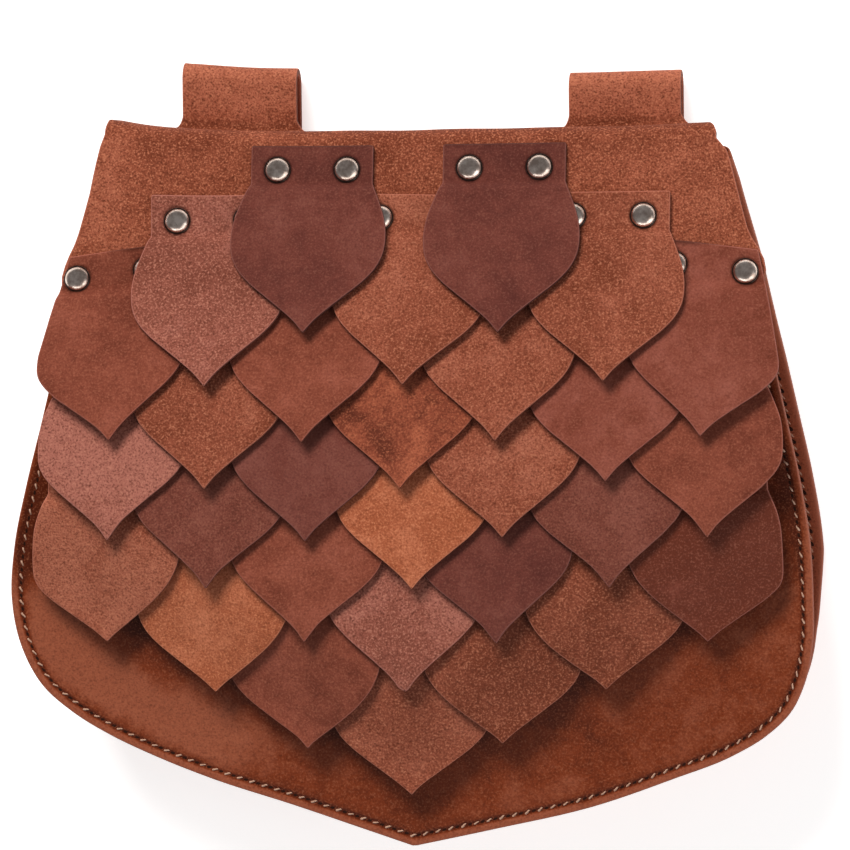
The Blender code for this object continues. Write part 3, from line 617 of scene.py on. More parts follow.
def cut_leather(name, outline, form, wall, finish, step, levels=None, more=(), seams=(), dye_depth_and_painted_light=0.0,
                wear_and_painted_light=None, painted_contact_shade=None):
    """A sheet cut flat to an outline and then formed, with rounded edges, pale at their raw rims.

    form(x, y, h) gives the place of the points h above the sheet's inner face. levels are the
    rows of points across the sheet, more are points that it needs besides, and seams are the
    distances inside its edge at which it needs a line of points.
    """
    outline = spaced(outline, 0.6 * step)
    out = outward(outline)
    inner = outline - EDGE_ROUND[0][0] * out
    rings = [inner] + [outline - inset * out for inset in seams]
    flat = [p for ring in rings for p in ring]
    edges, first = [], 0
    for ring in rings:
        edges += [(first + k, first + (k + 1) % len(ring)) for k in range(len(ring))]
        first += len(ring)
    low, high = inner.min(axis=0), inner.max(axis=0)
    if levels is None:
        levels = np.arange(low[1], high[1], 0.87 * step)
    grid = [
        (x, y)
        for k, y in enumerate(levels)
        for x in np.arange(low[0] + (k % 2) * step / 2, high[0], step)
    ]
    grid = np.array(grid + [tuple(p) for p in more])
    closed = np.concatenate([outline, outline[:1]])
    clear = max([EDGE_ROUND[0][0], *seams]) + 0.45 * step
    near = distance_to(closed, grid)
    flat += list(grid[near > clear])
    cut, _, triangles, came_from, *_ = delaunay_2d_cdt([Vector(p) for p in flat], edges, [], 1, 1e-8)
    cut = np.array([tuple(p) for p in cut])
    number = {old: new for new, olds in enumerate(came_from) for old in olds}
    ring = np.array([number[k] for k in range(len(inner))])
    count = len(cut)

    profile = [(inset, wall - depth) for inset, depth in EDGE_ROUND[1:]]
    profile += [(inset, depth) for inset, depth in EDGE_ROUND[:0:-1]]
    flats = [cut] + [outline - inset * out for inset, _ in profile] + [cut]
    heights = [np.full(count, wall)] + [np.full(len(outline), h) for _, h in profile]
    heights.append(np.zeros(count))
    flat, height = np.concatenate(flats), np.concatenate(heights)
    points = form(flat[:, 0], flat[:, 1], height)

    faces = [tuple(t) for t in triangles]
    under = count + len(profile) * len(outline)
    faces += [tuple(under + i for i in reversed(t)) for t in triangles]
    loops = [ring] + [count + k * len(outline) + np.arange(len(outline)) for k in range(len(profile))]
    loops.append(under + ring)
    for upper, lower in zip(loops[:-1], loops[1:]):
        quads = np.stack([upper, lower, np.roll(lower, -1), np.roll(upper, -1)], axis=1)
        faces += [tuple(q) for q in quads.tolist()]
    piece = new_piece(name, points, faces, [finish])
    dice = np.random.default_rng(sum(ord(c) * (k + 1) for k, c in enumerate(name)))
    inside = distance_to(closed, cut)
    rim = np.repeat((0.7, 0.85, 1.0, 1.0, 0.85, 0.7), len(outline))
    fading = np.exp(-inside / 0.0004)
    note(piece, "cut_edge", np.concatenate([fading, rim, fading]))
    note(piece, "flesh", 1 - height / wall)
    note(piece, "dye_depth_and_painted_light", np.full(len(points), dye_depth_and_painted_light))
    none = np.zeros(len(points))
    note(piece, "wear_and_painted_light", none if wear_and_painted_light is None else wear_and_painted_light(flat[:, 0], flat[:, 1]))
    note(piece, "painted_contact_shade", none if painted_contact_shade is None else painted_contact_shade(flat[:, 0], flat[:, 1]))
    note(piece, "hide", np.tile(dice.uniform(-1, 1, 3), (len(points), 1)), "FLOAT_VECTOR")
    return piece


def add(tree, kind, inputs=None, **settings):
    """A node with its settings, and its inputs set to numbers or joined to other sockets."""
    node = tree.nodes.new(kind)
    for key, value in settings.items():
        setattr(node, key, value)
    for name, value in (inputs or {}).items():
        if isinstance(value, bpy.types.NodeSocket):
            tree.links.new(value, node.inputs[name])
        else:
            node.inputs[name].default_value = value
    return node


def new_material(name):
    made = bpy.data.materials.new(name)
    made.use_nodes = True
    tree = made.node_tree
    tree.nodes.clear()
    shader = add(tree, "ShaderNodeBsdfPrincipled")
    output = add(tree, "ShaderNodeOutputMaterial")
    tree.links.new(shader.outputs[0], output.inputs["Surface"])
    return made, tree, shader


def reading(tree, name):
    """A value that the pieces carry on their points."""
    return add(tree, "ShaderNodeAttribute", attribute_name=name)


def noise(tree, where, size, detail=3.0, rough=0.55, warp=0.0):
    """Noise whose blotches are about size across, in metres."""
    sizes = {"Vector": where, "Scale": 1 / size, "Detail": detail, "Roughness": rough, "Distortion": warp}
    return add(tree, "ShaderNodeTexNoise", sizes).outputs["Fac"]


def spread(tree, value, low, high, to_low=0.0, to_high=1.0):
    """The value's run from low to high, stretched over another run."""
    ends = {"Value": value, "From Min": low, "From Max": high, "To Min": to_low, "To Max": to_high}
    return add(tree, "ShaderNodeMapRange", ends).outputs["Result"]


def work(tree, how, a, b=0.0, c=0.0):
    return add(tree, "ShaderNodeMath", {0: a, 1: b, 2: c}, operation=how).outputs[0]


def mixed(tree, share, a, b, how="MIX"):
    """Two colours mixed, each a socket or a colour."""
    node = add(tree, "ShaderNodeMix", {"Factor": share}, data_type="RGBA", blend_type=how)
    for socket, value in ((node.inputs[6], a), (node.inputs[7], b)):
        if isinstance(value, bpy.types.NodeSocket):
            tree.links.new(value, socket)
        else:
            socket.default_value = (*value, 1.0)
    return node.outputs[2]


def dyed_leather(name, deep, main, pale, grain=1.0, blotch=1.0, gloss=0.0, sheen=0.015, burnt=0.75):
    """Vegetable-tanned leather: a mottled dye, a sanded grain, raw cuts and a fibrous flesh side.

    deep, main and pale are the dye's colours, grain the strength of the sanding's speckle,
    blotch that of the cloudy dye, gloss how much smoother than nubuck the face is, and burnt
    how dark its cut walls are.
    """
    made, tree, shader = new_material(name)
    place = add(tree, "ShaderNodeTexCoord").outputs["Object"]
    where = add(
        tree, "ShaderNodeVectorMath", {0: place, 1: reading(tree, "hide").outputs["Vector"]},
        operation="ADD",
    ).outputs["Vector"]
    cloud = noise(tree, where, 0.030, 3.0, 0.55, 0.4)
    mottle = noise(tree, where, 0.0075, 5.0, 0.62, 0.8)
    nap = noise(tree, where, 0.0016, 3.0, 0.6)
    speck = noise(tree, where, 0.00060, 1.5, 0.6)

    depth = work(tree, "MULTIPLY_ADD", cloud, 1.6 * blotch, 0.5 - 0.8 * blotch)
    depth = work(tree, "MULTIPLY_ADD", mottle, 1.2 * blotch, work(tree, "SUBTRACT", depth, 0.6 * blotch))
    # Each piece's dye depth, with painted light: scales paler on the left and darker to the lower right, and
    # the gusset lightened.
    depth = work(tree, "ADD", depth, reading(tree, "dye_depth_and_painted_light").outputs["Fac"])
    # Pull-up paleness, with painted highlights and painted shade at the seams, fold, creases and under the
    # scales.
    depth = work(tree, "ADD", depth, reading(tree, "wear_and_painted_light").outputs["Fac"])
    colour = mixed(tree, spread(tree, depth, 0.0, 0.5), deep, main)
    colour = mixed(tree, spread(tree, depth, 0.5, 1.0), colour, pale)
    pits = spread(tree, nap, 0.50, 0.32, 0.0, 0.30 * grain)
    colour = mixed(tree, pits, colour, tuple(0.60 * c for c in deep))
    fluff = spread(tree, speck, 0.52, 0.74, 0.0, 0.80 * grain)
    colour = mixed(tree, fluff, colour, (1.25 * pale[0] + 0.02, 1.35 * pale[1] + 0.02, 1.3 * pale[2] + 0.01))
    dust = spread(tree, speck, 0.48, 0.28, 0.0, 0.75 * grain)
    colour = mixed(tree, dust, colour, tuple(0.60 * c for c in deep))
    flesh = reading(tree, "flesh").outputs["Fac"]
    fibres = mixed(tree, nap, main, tuple(1.15 * c + 0.03 for c in pale))
    colour = mixed(tree, spread(tree, flesh, 0.80, 0.98, 0.0, 0.85), colour, fibres)
    edge = reading(tree, "cut_edge").outputs["Fac"]
    cut = spread(tree, edge, 0.30, 0.70, 0.0, 0.7)
    colour = mixed(tree, cut, colour, tuple(1.15 * c + 0.02 for c in pale))
    colour = mixed(tree, spread(tree, edge, 0.80, 0.95, 0.0, burnt), colour, tuple(0.35 * c for c in deep))
    # Painted shade: near black in the loops' creases, along scale tops and round the rivet caps.
    painted_contact_shade = reading(tree, "painted_contact_shade").outputs["Fac"]
    colour = mixed(tree, painted_contact_shade, colour, tuple(0.12 * c for c in deep))
    tree.links.new(colour, shader.inputs["Base Color"])

    rough = work(tree, "MULTIPLY_ADD", nap, 0.22, 0.72 - 0.24 * gloss)
    rough = work(tree, "SUBTRACT", rough, work(tree, "MULTIPLY", cut, 0.08))
    tree.links.new(rough, shader.inputs["Roughness"])

    pores = add(
        tree, "ShaderNodeTexVoronoi", {"Vector": where, "Scale": 1 / 0.0012, "Randomness": 1.0},
        feature="SMOOTH_F1",
    ).outputs["Distance"]
    relief = work(tree, "MULTIPLY_ADD", speck, 0.80 * grain, work(tree, "MULTIPLY", nap, 0.7))
    relief = work(tree, "MULTIPLY_ADD", pores, 0.30, relief)
    relief = work(tree, "MULTIPLY_ADD", mottle, 0.8, relief)
    bump = add(tree, "ShaderNodeBump", {"Height": relief, "Distance": 0.00045, "Strength": 0.5})
    tree.links.new(bump.outputs[0], shader.inputs["Normal"])
    shader.inputs["Specular IOR Level"].default_value = 0.12 + 0.08 * gloss
    shader.inputs["Sheen Weight"].default_value = sheen
    shader.inputs["Sheen Roughness"].default_value = 0.5
    shader.inputs["Sheen Tint"].default_value = (1.0, 0.72, 0.55, 1.0)
    return made


LEATHERS = {
    "body": dyed_leather(
        "smooth_body_leather", (0.080, 0.0125, 0.0034), (0.184, 0.0325, 0.0090), (0.290, 0.077, 0.037),
        grain=0.55, blotch=0.8, gloss=0.3, sheen=0.0, burnt=0.2,
    ),
    "flap": dyed_leather(
        "sanded_flap_leather", (0.165, 0.037, 0.017), (0.268, 0.069, 0.035), (0.405, 0.120, 0.066),
        grain=1.12,
    ),
    "plum": dyed_leather(
        "plum_scale_leather", (0.095, 0.024, 0.018), (0.145, 0.038, 0.027), (0.195, 0.060, 0.044),
        grain=0.5, gloss=0.2,
    ),
    "wine": dyed_leather(
        "wine_scale_leather", (0.110, 0.029, 0.019), (0.165, 0.045, 0.030), (0.225, 0.069, 0.048),
        grain=0.75,
    ),
    "rosy": dyed_leather(
        "rosy_scale_leather", (0.180, 0.050, 0.031), (0.265, 0.080, 0.053), (0.370, 0.128, 0.092),
        grain=1.1,
    ),
    "red": dyed_leather(
        "red_brown_scale_leather", (0.130, 0.029, 0.015), (0.213, 0.055, 0.034), (0.288, 0.086, 0.059),
        grain=0.5, gloss=0.15,
    ),
    "russet": dyed_leather(
        "russet_scale_leather", (0.145, 0.034, 0.019), (0.230, 0.059, 0.034), (0.310, 0.089, 0.056),
        grain=0.6,
    ),
    "tan": dyed_leather(
        "tan_scale_leather", (0.170, 0.040, 0.019), (0.262, 0.069, 0.037), (0.370, 0.115, 0.067),
    ),
    "amber": dyed_leather(
        "amber_scale_leather", (0.270, 0.066, 0.025), (0.375, 0.102, 0.046), (0.500, 0.160, 0.080),
        grain=0.85,
    ),
    "mottled": dyed_leather(
        "mottled_scale_leather", (0.120, 0.028, 0.015), (0.235, 0.056, 0.029), (0.360, 0.096, 0.048),
        grain=0.8, blotch=1.7, gloss=0.1,
    ),
}


def waxed_thread():
    """Pale linen thread, with the shade of its plies and a little wax."""
    made, tree, shader = new_material("waxed_linen_thread")
    place = add(tree, "ShaderNodeTexCoord").outputs["Object"]
    fibre = noise(tree, place, 0.00035, 3.0)
    length = noise(tree, place, 0.02, 2.0)
    colour = mixed(tree, fibre, (0.36, 0.17, 0.10), (0.82, 0.52, 0.37))
    colour = mixed(tree, spread(tree, length, 0.35, 0.7, 0.0, 0.4), colour, (0.38, 0.21, 0.14))
    tree.links.new(colour, shader.inputs["Base Color"])
    bump = add(tree, "ShaderNodeBump", {"Height": fibre, "Distance": 0.0001, "Strength": 0.5})
    tree.links.new(bump.outputs[0], shader.inputs["Normal"])
    shader.inputs["Roughness"].default_value = 0.55
    return made


def awl_hole():
    """Painted shadow: the dark inside of a stitch hole."""
    made, tree, shader = new_material("awl_hole_shadow")
    place = add(tree, "ShaderNodeTexCoord").outputs["Object"]
    colour = mixed(tree, noise(tree, place, 0.001), (0.012, 0.004, 0.003), (0.035, 0.012, 0.007))
    tree.links.new(colour, shader.inputs["Base Color"])
    shader.inputs["Roughness"].default_value = 0.9
    shader.inputs["Specular IOR Level"].default_value = 0.1
    return made


def aged_nickel():
    """Antique nickel: browned metal, with painted shade darkening the rim where it meets the leather."""
    made, tree, shader = new_material("aged_nickel")
    place = add(tree, "ShaderNodeTexCoord").outputs["Object"]
    stain = noise(tree, place, 0.0022, 4.0, 0.6)
    fine = noise(tree, place, 0.0004, 3.0, 0.6)
    crown = reading(tree, "crown").outputs["Fac"]
    colour = mixed(tree, spread(tree, stain, 0.35, 0.65), (0.50, 0.37, 0.30), (0.90, 0.76, 0.66))
    # Painted shade: near black at the rim, where the cap meets the leather.
    colour = mixed(tree, spread(tree, crown, 0.27, 0.16, 0.0, 0.9), colour, (0.020, 0.012, 0.009))
    tree.links.new(colour, shader.inputs["Base Color"])
    rough = work(tree, "MULTIPLY_ADD", fine, 0.16, 0.23)
    tree.links.new(rough, shader.inputs["Roughness"])
    bump = add(tree, "ShaderNodeBump", {"Height": fine, "Distance": 0.0001, "Strength": 0.15})
    tree.links.new(bump.outputs[0], shader.inputs["Normal"])
    shader.inputs["Metallic"].default_value = 1.0
    return made


def pale_floor():
    made, tree, shader = new_material("pale_floor")
    place = add(tree, "ShaderNodeTexCoord").outputs["Object"]
    colour = mixed(tree, noise(tree, place, 0.4), (0.88, 0.88, 0.875), (0.90, 0.90, 0.895))
    tree.links.new(colour, shader.inputs["Base Color"])
    shader.inputs["Roughness"].default_value = 0.9
    shader.inputs["Emission Color"].default_value = (1.0, 0.99, 0.98, 1.0)
    shader.inputs["Emission Strength"].default_value = 0.62
    return made


THREAD, HOLE, NICKEL = waxed_thread(), awl_hole(), aged_nickel()


def new_tree(name, sizes):
    """A tree of Geometry Nodes with named inputs for its sizes: the tree and its input node."""
    tree = bpy.data.node_groups.new(name, "GeometryNodeTree")
    tree.interface.new_socket("Geometry", in_out="INPUT", socket_type="NodeSocketGeometry")
    tree.interface.new_socket("Geometry", in_out="OUTPUT", socket_type="NodeSocketGeometry")
    for label, value in sizes.items():
        kind = "NodeSocketInt" if isinstance(value, int) else "NodeSocketFloat"
        socket = tree.interface.new_socket(label, in_out="INPUT", socket_type=kind)
        socket.default_value = value
    return tree, add(tree, "NodeGroupInput").outputs


def finish_tree(tree, instances, finish):
    real = add(tree, "GeometryNodeRealizeInstances", {"Geometry": instances}).outputs[0]
    soft = add(tree, "GeometryNodeSetShadeSmooth", {"Geometry": real, "Shade Smooth": True}).outputs[0]
    skin = add(tree, "GeometryNodeSetMaterial", {"Geometry": soft, "Material": finish}).outputs[0]
    out = add(tree, "NodeGroupOutput")
    tree.links.new(skin, out.inputs[0])
    return tree


def facing(tree, slant, seed):
    """Rotation with Z along the surface's normal and X along the seam, then slanted."""
    normal = add(tree, "GeometryNodeInputNamedAttribute", {"Name": "out"}, data_type="FLOAT_VECTOR")
    tangent = add(tree, "GeometryNodeInputTangent").outputs[0]
    square = add(
        tree, "FunctionNodeAxesToRotation",
        {"Primary Axis": normal.outputs["Attribute"], "Secondary Axis": tangent},
        primary_axis="Z", secondary_axis="X",
    ).outputs[0]
    loose = add(
        tree, "FunctionNodeRandomValue", {2: -0.12, 3: 0.12, "Seed": seed}, data_type="FLOAT"
    ).outputs[1]
    turn = work(tree, "ADD", slant, loose)
    about = add(
        tree, "FunctionNodeAxisAngleToRotation", {"Axis": (0.0, 0.0, 1.0), "Angle": turn}
    ).outputs[0]
    return add(
        tree, "FunctionNodeRotateRotation", {"Rotation": square, "Rotate By": about},
        rotation_space="LOCAL",
    ).outputs[0]


def along_seam(tree, sizes, pick):
    """Every second point along each line: the middles of the stitches, or their holes."""
    curve = add(tree, "GeometryNodeMeshToCurve", {"Mesh": sizes["Geometry"]}).outputs[0]
    half = work(tree, "MULTIPLY", sizes["Pitch"], 0.5)
    points = add(
        tree, "GeometryNodeResampleCurve", {"Curve": curve, "Length": half}, mode="LENGTH"
    ).outputs[0]
    index = add(tree, "GeometryNodeInputIndex").outputs[0]
    odd = work(tree, "MODULO", index, 2.0)
    chosen = add(
        tree, "FunctionNodeCompare", {0: odd, 1: float(pick), "Epsilon": 0.1},
        data_type="FLOAT", operation="EQUAL",
    ).outputs[0]
    return points, chosen


def stitch_tree():
    """Short twisted threads laid along a seam."""
    tree, sizes = new_tree("Stitches", {
        "Pitch": STITCH_PITCH, "Length": 0.0025, "Thickness": 0.00070, "Rise": 0.00025,
        "Slant": 0.50, "Seed": 4,
    })
    points, chosen = along_seam(tree, sizes, 0)
    end = work(tree, "MULTIPLY", sizes["Length"], 0.5)
    start = work(tree, "MULTIPLY", sizes["Length"], -0.5)
    sunk = work(tree, "MULTIPLY", sizes["Thickness"], -0.6)
    lift = work(tree, "MULTIPLY_ADD", sizes["Rise"], 2.0, work(tree, "MULTIPLY", sunk, -1.0))
    corners = [
        add(tree, "ShaderNodeCombineXYZ", {"X": x, "Z": z}).outputs[0]
        for x, z in ((start, sunk), (0.0, lift), (end, sunk))
    ]
    arc = add(
        tree, "GeometryNodeCurveQuadraticBezier",
        {"Resolution": 6, "Start": corners[0], "Middle": corners[1], "End": corners[2]},
    ).outputs[0]
    factor = add(tree, "GeometryNodeSplineParameter").outputs["Factor"]
    twist = work(tree, "MULTIPLY", factor, 4.4)
    arc = add(tree, "GeometryNodeSetCurveTilt", {"Curve": arc, "Tilt": twist}).outputs[0]
    outer = work(tree, "MULTIPLY", sizes["Thickness"], 0.5)
    inner = work(tree, "MULTIPLY", sizes["Thickness"], 0.36)
    plies = add(
        tree, "GeometryNodeCurveStar", {"Points": 3, "Inner Radius": inner, "Outer Radius": outer}
    ).outputs[0]
    thread = add(
        tree, "GeometryNodeCurveToMesh", {"Curve": arc, "Profile Curve": plies, "Fill Caps": True}
    ).outputs[0]
    uneven = add(
        tree, "FunctionNodeRandomValue", {2: 0.86, 3: 1.12, "Seed": sizes["Seed"]}, data_type="FLOAT"
    ).outputs[1]
    laid = add(tree, "GeometryNodeInstanceOnPoints", {
        "Points": points, "Selection": chosen, "Instance": thread,
        "Rotation": facing(tree, sizes["Slant"], sizes["Seed"]), "Scale": uneven,
    }).outputs[0]
    return finish_tree(tree, laid, THREAD)


def hole_tree():
    """Slanted awl holes between the stitches, each a dark lens flush with the leather that paints the hole's
    shadow.
    """
    tree, sizes = new_tree("Stitch holes", {
        "Pitch": STITCH_PITCH, "Length": 0.0020, "Width": 0.00115, "Slant": 0.70, "Seed": 9,
    })
    points, chosen = along_seam(tree, sizes, 1)
    lens = add(
        tree, "GeometryNodeMeshUVSphere", {"Segments": 8, "Rings": 4, "Radius": 0.5}
    ).outputs["Mesh"]
    shape = add(
        tree, "ShaderNodeCombineXYZ", {"X": sizes["Length"], "Y": sizes["Width"], "Z": 0.0004}
    ).outputs[0]
    lens = add(tree, "GeometryNodeTransform", {"Geometry": lens, "Scale": shape}).outputs[0]
    punched = add(tree, "GeometryNodeInstanceOnPoints", {
        "Points": points, "Selection": chosen, "Instance": lens,
        "Rotation": facing(tree, sizes["Slant"], sizes["Seed"]),
    }).outputs[0]
    return finish_tree(tree, punched, HOLE)


def cap_tree():
    """Domed rivet caps with a rolled rim, one on each point."""
    tree, sizes = new_tree("Rivet caps", {
        "Radius": CAP_RADIUS, "Dome": DOME_HEIGHT, "Rim": 0.00022, "Seed": 3,
    })
    ball = add(
        tree, "GeometryNodeMeshUVSphere", {"Segments": 40, "Rings": 24, "Radius": 1.0}
    ).outputs["Mesh"]
    place = add(tree, "GeometryNodeInputPosition").outputs[0]
    parts = add(tree, "ShaderNodeSeparateXYZ", {0: place}).outputs
    square = work(tree, "POWER", work(tree, "MAXIMUM", parts["Z"], 0.0), 2.0)
    height = work(tree, "MULTIPLY", square, work(tree, "SUBTRACT", 2.0, square))
    keep = work(tree, "MULTIPLY", work(tree, "MINIMUM", parts["Z"], 0.0), 0.35)
    tall = work(tree, "MULTIPLY", work(tree, "ADD", height, keep), sizes["Dome"])
    wide = work(tree, "SUBTRACT", sizes["Radius"], work(tree, "MULTIPLY", sizes["Rim"], 0.5))
    shape = add(tree, "ShaderNodeCombineXYZ", {
        "X": work(tree, "MULTIPLY", parts["X"], wide),
        "Y": work(tree, "MULTIPLY", parts["Y"], wide),
        "Z": tall,
    }).outputs[0]
    dome = add(tree, "GeometryNodeSetPosition", {"Geometry": ball, "Position": shape}).outputs[0]
    hoop = add(
        tree, "GeometryNodeCurvePrimitiveCircle", {"Resolution": 40, "Radius": wide}, mode="RADIUS"
    ).outputs["Curve"]
    roll = add(
        tree, "GeometryNodeCurvePrimitiveCircle", {"Resolution": 8, "Radius": sizes["Rim"]},
        mode="RADIUS",
    ).outputs["Curve"]
    rim = add(tree, "GeometryNodeCurveToMesh", {"Curve": hoop, "Profile Curve": roll}).outputs[0]
    both = add(tree, "GeometryNodeJoinGeometry")
    tree.links.new(dome, both.inputs[0])
    tree.links.new(rim, both.inputs[0])
    up = add(tree, "ShaderNodeSeparateXYZ", {0: add(tree, "GeometryNodeInputPosition").outputs[0]})
    crown = work(tree, "DIVIDE", up.outputs["Z"], sizes["Dome"])
    cap = add(
        tree, "GeometryNodeStoreNamedAttribute",
        {"Geometry": both.outputs[0], "Name": "crown", "Value": crown},
        data_type="FLOAT", domain="POINT",
    ).outputs[0]
    normal = add(tree, "GeometryNodeInputNamedAttribute", {"Name": "out"}, data_type="FLOAT_VECTOR")
    stand = add(
        tree, "FunctionNodeAlignRotationToVector", {"Vector": normal.outputs["Attribute"]}, axis="Z"
    ).outputs[0]
    loose = add(
        tree, "FunctionNodeRandomValue", {2: 0.98, 3: 1.02, "Seed": sizes["Seed"]}, data_type="FLOAT"
    ).outputs[1]
    set_caps = add(tree, "GeometryNodeInstanceOnPoints", {
        "Points": sizes["Geometry"], "Instance": cap, "Rotation": stand, "Scale": loose,
    }).outputs[0]
    return finish_tree(tree, set_caps, NICKEL)


def made_by(name, tree, lines, **sizes):
    """A plain mesh that a tree makes from lines of (points, normals)."""
    points = np.concatenate([line for line, _ in lines])
    normals = np.concatenate([normal for _, normal in lines])
    edges, first = [], 0
    for line, _ in lines:
        edges += [(first + k, first + k + 1) for k in range(len(line) - 1)]
        first += len(line)
    mesh = bpy.data.meshes.new(name + "_line")
    mesh.from_pydata(points.tolist(), edges if len(lines[0][0]) > 1 else [], [])
    guide = bpy.data.objects.new(name + "_line", mesh)
    bpy.context.scene.collection.objects.link(guide)
    note(guide, "out", normals, "FLOAT_VECTOR")
    maker = guide.modifiers.new("maker", "NODES")
    maker.node_group = tree
    sockets = {s.name: s.identifier for s in tree.interface.items_tree if s.in_out == "INPUT"}
    for label, value in sizes.items():
        maker[sockets[label]] = value
    seen = guide.evaluated_get(bpy.context.evaluated_depsgraph_get())
    plain = bpy.data.meshes.new_from_object(seen)
    piece = bpy.data.objects.new(name, plain)
    bpy.context.scene.collection.objects.link(piece)
    guide.modifiers.clear()
    bpy.data.objects.remove(guide)
    return piece


def wear_slot(piece, slot, *nodes):
    """Hide the solids that the piece stands for and hang it on the root; slot is not used."""
    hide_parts(*nodes)
    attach(piece, "root")


SEAM_RINGS = (0.0019, 0.0025, 0.0030, 0.0035, 0.0042)


def front_face(x, v, h):
    """Place on the front panel, swollen inside its seam and uneven from use."""
    inside = distance_to(SEAM_LINE, np.stack([x, v], axis=1))
    held = smooth(inside, FLANGE, FLANGE + SEAM_RUN)
    rest = 0.00045 * ripple(x, v, 0.075, 11) + 0.00018 * ripple(x, v, 0.022, 12)
    sunk = groove(inside, STITCH_INSET) * (2 * h / WALL - 1)
    return on_bag(x, v, seam_z(v) + h + held * (swell(x, v) + rest) - sunk)


def seam_lip_highlight_and_groove_shade(inside):
    """Painted highlight along the lip outside the stitching and painted shade in its groove."""
    lip = 0.75 * smooth(inside, 0.0026, 0.0014)
    return lip - 0.75 * np.exp(-(((inside - STITCH_INSET) / 0.0009) ** 2))


def front_painted_light(x, v):
    """Painted light on the front panel: a highlight on the seam's lip and shade in its groove, a painted
    sheen band on the lower left, and painted shadow under the scales.
    """
    covered = LAST_TIP + 0.004 + np.abs(x) * ROW_PITCH / COLUMN_PITCH
    # Painted shadow under the scales' lower edge, weaker towards the right side.
    kept = -0.78 * smooth(v, covered - 0.007, covered + 0.008) * (1 - 0.6 * smooth(x, 0.080, 0.098))
    inside = distance_to(SEAM_LINE, np.stack([x, v], axis=1))
    # Painted sheen: a pale band inside the seam on the lower left, where the swell faces the light.
    painted_light_band = 0.85 * smooth(x, -0.025, -0.068) * np.exp(-(((inside - 0.013) / 0.008) ** 2))
    return kept + painted_light_band * (1 + kept) + seam_lip_highlight_and_groove_shade(inside)


def front_panel():
    piece = cut_leather(
        "leather_front_panel", rounded(SEAM_LINE, 0.004), front_face, WALL, LEATHERS["body"], 0.0020,
        seams=SEAM_RINGS, wear_and_painted_light=front_painted_light,
    )
    wear_slot(piece, "body_leather", "front_panel")


def back_face(x, v, h):
    inside = distance_to(BACK_LINE, np.stack([x, v], axis=1))
    sunk = groove(inside, BACK_STITCH_INSET) * (2 * h / WALL - 1)
    uneven = 0.00025 * (ripple(x, v, 0.06, 21) + 1) * smooth(inside, FLANGE, 0.03)
    uneven = uneven * smooth(v / MOUTH, 0.70, 0.55)
    return on_bag(x, v, back_z(v) + h - sunk + uneven)


def back_panel():
    top = BODY_HEIGHT - BACK_TOP_DROP
    corners = [(panel_edge_x(side, top) + side * back_margin(top), top) for side in (1, -1)]
    outline = rounded(np.concatenate([BACK_LINE, corners]), 0.004)

    # Painted highlight on the back seam's lip and painted shade in its groove.
    def back_seam_light_and_shade(x, v):
        return seam_lip_highlight_and_groove_shade(distance_to(BACK_LINE, np.stack([x, v], axis=1)) - 0.0004)

    piece = cut_leather(
        "leather_back_panel", outline, back_face, WALL, LEATHERS["body"], 0.0024, seams=SEAM_RINGS,
        wear_and_painted_light=back_seam_light_and_shade,
    )
    wear_slot(piece, "body_leather", "back_panel")


def gusset_section(v):
    """Middle of the gusset's wall as (outward, z): back flange, bellied side, front flange."""
    low = back_z(v) + WALL + GAP + WALL / 2
    high = seam_z(v) - GAP - WALL / 2
    wall = -FLANGE
    shape = [
        # outward, share of depth
        (back_margin(v) - 0.0005, 0.0),
        (0.80 * wall, 0.0),
        (wall + 0.10 * GUSSET_BELLY, 0.07),
        (wall + 0.65 * GUSSET_BELLY, 0.25),
        (wall + GUSSET_BELLY, 0.5),
        (wall + 0.65 * GUSSET_BELLY, 0.75),
        (wall + 0.10 * GUSSET_BELLY, 0.93),
        (0.80 * wall, 1.0),
        (-0.0005, 1.0),
    ]
    return through([(out, low + share * (high - low)) for out, share in shape], 5)


